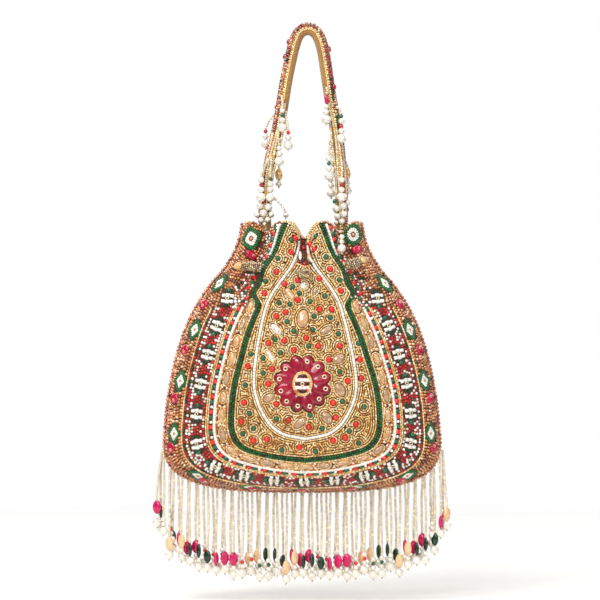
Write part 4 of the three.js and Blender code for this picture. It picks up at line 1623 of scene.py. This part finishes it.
def beaded_loop(node, place, sides=20):
    """A short cloth tube covered with rings of seed beads."""
    x, z, length, radius, tilt = LOOPS[place]
    centre = np.array([x, span(node)[1], z])
    turn = math.radians(tilt)
    axis = np.array([math.cos(turn), 0, -math.sin(turn)])
    upright = np.array([math.sin(turn), 0, math.cos(turn)])
    forward = np.array([0, 1.0, 0])
    around = np.arange(sides) * 2 * math.pi / sides
    wall = radius - 0.75
    section = [(LOOP_BORE, -1), (wall, -1), (wall, 1), (LOOP_BORE, 1)]
    points = np.array([
        centre + axis * end * (length / 2 - 0.1)
        + r * (math.cos(a) * upright + math.sin(a) * forward)
        for r, end in section for a in around
    ])
    bore = [(3 * sides + k, 3 * sides + (k + 1) % sides, (k + 1) % sides, k)
            for k in range(sides)]
    beads = Beads()
    beads.surface(points, np.vstack([grid_quads(4, sides, closed=True)[:, ::-1], bore]),
                  "ground_cloth", "sage")
    rings, count = int(length / 1.45), int(2 * math.pi * wall / 1.45)
    for ring in range(rings):
        at = ((ring + 0.5) / rings - 0.5) * (length - 0.4)
        angle = (np.arange(count) + 0.5 * (ring % 2)) * 2 * math.pi / count
        up = np.cos(angle)[:, None] * upright + np.sin(angle)[:, None] * forward
        colour, _ = choose(count, {"sage": 4, "champagne": 2, "gold": 1, "brown": 1.2})
        beads.add("seed", "lined_glass", centre + axis * at + up * (wall - 0.1), up, axis,
                  (length / rings * 0.5, 0.76, 0.95), colour)
    piece = beads.make(f"beaded_{node}", "bag", "loop_beads", node)
    flat = np.zeros(len(piece.data.vertices) * 3, np.float32)
    piece.data.vertices.foreach_get("co", flat)
    set_weave(piece, flat.reshape(-1, 3) / MM @ np.stack([axis, upright], 1))


# ---- strands

# Items of a strand: form, material, colour, radius across, half height, thickness share
ITEMS = {
    "big_pearl": ("pearl", "pearl", "pearl", 3.3, 3.2, 1.0),
    "pearl": ("small_ball", "pearl", "pearl", 2.05, 1.9, 1.0),
    "strap_pearl": ("pearl", "pearl", "pearl", 3.6, 3.5, 1.0),
    "strap_bead": ("small_ball", "pearl", "pearl", 2.45, 2.3, 1.0),
    "red": ("small_ball", "glass", "coral", 1.6, 1.5, 1.0),
    "garnet": ("small_ball", "glass", "garnet", 1.6, 1.5, 1.0),
    "emerald": ("small_ball", "glass", "emerald", 1.6, 1.5, 1.0),
    "magenta_oval": ("pearl", "gem", "fuchsia", 3.4, 5.2, 0.5),
    "bottle_oval": ("pearl", "gem", "bottle", 3.0, 4.9, 0.5),
    "peach_oval": ("pearl", "glass", "peach_glass", 3.0, 5.4, 0.6),
    "magenta_edge": ("pearl", "gem", "fuchsia", 1.7, 5.2, 1.9),
    "bottle_edge": ("pearl", "gem", "bottle", 1.5, 5.2, 1.9),
    "gold_ribbed": ("ribbed", "metal", "gold", 2.9, 5.0, 0.9),
    "magenta_drop": ("pearl", "gem", "fuchsia", 1.7, 3.8, 0.9),
}


def hang(beads, x, y, bottom, top, items, turn=0.0, lean=(0.0, 0.0)):
    """A strand between two levels: a stop bead, the named items, then a string of seed beads
    whose upper end leans over by a distance in x and y."""
    z = bottom
    beads.add("small_ball", "lined_glass", (x, y, z + 0.7), UP, SIDEWAYS, 0.75, "champagne")
    z += 1.2
    way = np.array([math.cos(turn), math.sin(turn), 0])
    for item in items:
        form, material, colour, radius, half, thin = ITEMS[item]
        wobble = 0.12 * RANDOM.standard_normal(2)
        beads.add(form, material, (x + wobble[0], y + wobble[1], z + half), UP, way,
                  (radius, radius * thin, half), mixed(1, {colour: 1}, 0.03))
        z += 2 * half - 0.15
    length = top - z
    count = int(length / 1.72)
    if count < 1:
        return
    at = (np.arange(count) + 0.5) / count
    position = np.stack([
        x + lean[0] * at ** 1.4 + 0.08 * RANDOM.standard_normal(count)
        + 0.4 * (np.sin(at * 4.6 + 1.7 * x) - np.sin(1.7 * x)),
        y + lean[1] * at ** 1.4 + 0.08 * RANDOM.standard_normal(count),
        z + at * length,
    ], 1)
    colour, _ = choose(count, {"champagne": 8, "blush": 2, "cream": 1}, 0.06)
    beads.add("barrel", "glass", position, SIDEWAYS, UP, (length / count * 0.5, 0.95, 0.95),
              colour)


# Ends of the fringe strands, each with how far it stops above the strand's lowest place
FRINGE_ENDS = [
    (["big_pearl", "pearl", "emerald", "pearl"], 0.0), (["big_pearl", "magenta_oval"], 2.2),
    (["big_pearl", "pearl", "peach_oval"], 1.0), (["big_pearl", "pearl", "red", "pearl"], 3.0),
    (["big_pearl", "bottle_oval"], 1.6), (["big_pearl", "pearl", "pearl"], 3.6),
    (["big_pearl", "pearl", "magenta_oval"], 0.4), (["big_pearl", "bottle_edge"], 4.4),
    (["big_pearl", "pearl", "emerald", "pearl"], 1.4), (["big_pearl", "magenta_edge"], 3.2),
    (["big_pearl", "peach_oval"], 0.0), (["big_pearl", "pearl", "red", "pearl"], 2.4),
    (["big_pearl", "pearl", "bottle_edge"], 0.8),
]
# Strings at each place of the fringe: how far aside and forward, and how much shorter.  There
# are two along the bottom and three at the corners, where the outermost ones splay.
FRINGE_STRINGS = [(-1.1, -2.8, 0.0), (1.15, 2.6, 3.2)]
CORNER_STRINGS = [(-1.4, -2.8, 0.0), (0.9, 2.6, 4.0), (-0.4, 0.0, 9.0)]
OUTER_STRINGS = [(0.6, -2.8, 0.0), (-1.4, 2.8, 5.0), (-4.2, -1.2, 9.0)]
FRINGE_RISE = 2.2         # the strings run up behind the seam's edge beads


def fringe():
    """The strands along the bottom seam."""
    for number in range(1, 34):
        node = f"fringe_{number:02d}"
        x, _, bottom, top = span(node)
        beads = Beads()
        strings = {1: OUTER_STRINGS, 33: OUTER_STRINGS, 2: CORNER_STRINGS, 32: CORNER_STRINGS}
        for string, (aside, y, rise) in enumerate(strings.get(number, FRINGE_STRINGS)):
            aside = aside * (-1 if number > 2 else 1)
            items, up = FRINGE_ENDS[(number * 5 + string * 7) % len(FRINGE_ENDS)]
            hang(beads, x + aside, y, bottom + rise + up, top + FRINGE_RISE, items,
                 0.6 * math.sin(number * 1.7 + string),
                 (-0.8 * aside if abs(aside) > 1.3 else 0.0, -0.78 * y))
        beads.make(f"beaded_{node}", node, "strand_beads", node)


STRAP_STRAND_ENDS = {
    "left": [
        ["strap_pearl", "strap_bead", "emerald", "pearl"], ["strap_pearl", "strap_bead", "red"],
        ["strap_pearl", "strap_bead", "garnet"], ["strap_pearl", "strap_bead", "pearl"],
        ["strap_bead", "gold_ribbed"], ["strap_pearl", "strap_bead", "garnet", "strap_bead"],
        ["strap_pearl", "strap_bead", "strap_bead", "emerald"],
    ],
    "right": [
        ["strap_pearl", "strap_bead", "pearl", "magenta_drop"],
        ["strap_pearl", "strap_bead", "red", "strap_bead", "emerald"],
        ["strap_pearl", "strap_bead", "gold_ribbed"],
        ["strap_pearl", "strap_bead", "emerald", "strap_bead"],
        ["strap_pearl", "strap_bead", "gold_ribbed"], ["strap_pearl", "strap_bead", "pearl"],
        ["strap_pearl", "strap_bead", "garnet", "strap_bead"],
    ],
}
STRAND_ASIDE = {"strap_strand_left_3": -3.4, "strap_strand_right_1": -2.0}


def strap_strands():
    """The strands that swing from the strap; their strings start on the strap's face."""
    line = STRAP[0]
    crown = int(np.argmax(line[:, 1]))
    legs = {"left": line[:crown], "right": line[crown:][::-1]}
    for leg, ends in STRAP_STRAND_ENDS.items():
        for number, items in enumerate(ends, 1):
            node = f"strap_strand_{leg}_{number}"
            x, y, bottom, top = span(node)
            x += STRAND_ASIDE.get(node, 0.0)
            y *= 1.07
            centre = np.interp(top, legs[leg][:, 1], legs[leg][:, 0])
            aside = float(np.clip(x - centre, -3.6, 3.6)) + centre - x
            beads = Beads()
            hang(beads, x, y, bottom, top - 0.2, items, number, (aside, -0.24 * y))
            beads.make(f"beaded_{node}", node, "strand_beads", node)
    beads = Beads()
    hang(beads, *span("collar_strand"), ["big_pearl", "pearl", "pearl"])
    beads.make("beaded_collar_strand", "bag", "strand_beads", "collar_strand")


# ---- camera, light and floor

CAMERA_DISTANCE = 2.5
VIEW_WIDTH = 0.45
VIEW_CENTRE = Vector((-0.0015, 0, -0.198))


def make_camera():
    """Level view from the front."""
    data = bpy.data.cameras.new("camera")
    data.sensor_width = 36
    data.lens = data.sensor_width * CAMERA_DISTANCE / VIEW_WIDTH
    camera = bpy.data.objects.new("camera", data)
    camera.location = VIEW_CENTRE + Vector((0, -CAMERA_DISTANCE, 0))
    camera.rotation_euler = (math.pi / 2, 0, 0)
    bpy.context.scene.collection.objects.link(camera)
    bpy.context.scene.camera = camera


def soft_box(name, azimuth, elevation, distance, size, power, aim_z=-0.2):
    """A square light that looks at the bag. Azimuth 0 is in front of it."""
    data = bpy.data.lights.new(name, "AREA")
    data.size = size
    data.energy = power
    lamp = bpy.data.objects.new(name, data)
    a, e = math.radians(azimuth), math.radians(elevation)
    way = Vector((math.sin(a) * math.cos(e), -math.cos(a) * math.cos(e), math.sin(e)))
    lamp.location = Vector((0, 0, aim_z)) + way * distance
    lamp.rotation_mode = "QUATERNION"
    lamp.rotation_quaternion = way.to_track_quat("Z", "Y")
    bpy.context.scene.collection.objects.link(lamp)


# Name, azimuth and elevation, distance, size and power of each light
LIGHTS = [
    ("key", -35, 42, 1.3, 0.5, 10), ("front", -8, 20, 1.7, 0.4, 9), ("fill", 50, 15, 1.5, 0.9, 4),
    ("top", 0, 80, 1.2, 0.8, 5), ("rear_left", -145, 35, 1.4, 0.9, 8),
    ("rear_right", 140, 25, 1.4, 0.9, 6),
]


def make_light():
    """Soft boxes, and a dim sky that the camera sees as white."""
    for light in LIGHTS:
        soft_box(*light)
    world = bpy.data.worlds.new("studio")
    bpy.context.scene.world = world
    world.use_nodes = True
    tree = world.node_tree
    background = tree.nodes["Background"]
    background.inputs["Strength"].default_value = 1.0
    seen = tree.nodes.new("ShaderNodeLightPath").outputs["Is Camera Ray"]
    shade = tree.nodes.new("ShaderNodeMix")
    shade.data_type = "RGBA"
    shade.inputs[6].default_value = (0.27, 0.28, 0.30, 1)
    shade.inputs[7].default_value = (1.0, 1.0, 1.0, 1)
    tree.links.new(seen, shade.inputs[0])
    tree.links.new(shade.outputs[2], background.inputs["Color"])
    bpy.context.scene.view_settings.view_transform = "Standard"


def make_floor():
    """A pale round floor below the fringe that fades out at its edge."""
    lowest = CAD_BOX[0].z - 0.012
    rings, sides = np.linspace(0.02, 1.4, 24), 72
    turn = np.arange(sides) * 2 * math.pi / sides
    points = np.array([(r * math.cos(a), r * math.sin(a), lowest) for r in rings for a in turn])
    mesh = bpy.data.meshes.new("floor")
    faces = [tuple(map(int, q)) for q in grid_quads(len(rings), sides, closed=True)]
    mesh.from_pydata(points.tolist(), [], [*faces, tuple(range(sides))])
    floor = bpy.data.objects.new("floor", mesh)
    bpy.context.scene.collection.objects.link(floor)
    nodes = Nodes("floor_paper", Roughness=0.8, Specular_IOR_Level=0.2)
    grain = nodes.noise(nodes.place(), 90, 4.0)
    nodes.link(nodes.ramp(grain, (0.3, "white", 0.97), (0.7, "white", 1.0)),
               nodes.shader.inputs["Base Color"])
    distance = nodes.node("ShaderNodeVectorMath", operation="LENGTH")
    nodes.link(nodes.place(), distance.inputs[0])
    fade = nodes.ranged(distance.outputs["Value"], 1.0, 0.0, 0.55, 1.3)
    nodes.link(fade, nodes.shader.inputs["Alpha"])
    mesh.materials.append(nodes.material)


# ---- everything

make_camera()
make_materials()
for face, face_side in (("front", FRONT), ("back", BACK)):
    panel_cloth(f"{face}_cloth", f"panel_{face}", face_side)
    shield(face_side, face)
    border(face_side, face)
    rim_edge(face_side, face)
    for loop_place in LOOPS:
        beaded_loop(f"loop_{face}_{loop_place}", loop_place)
picot_edge()
lining_sack()
strap()
strap_strings()
fringe()
strap_strands()
make_light()
make_floor()
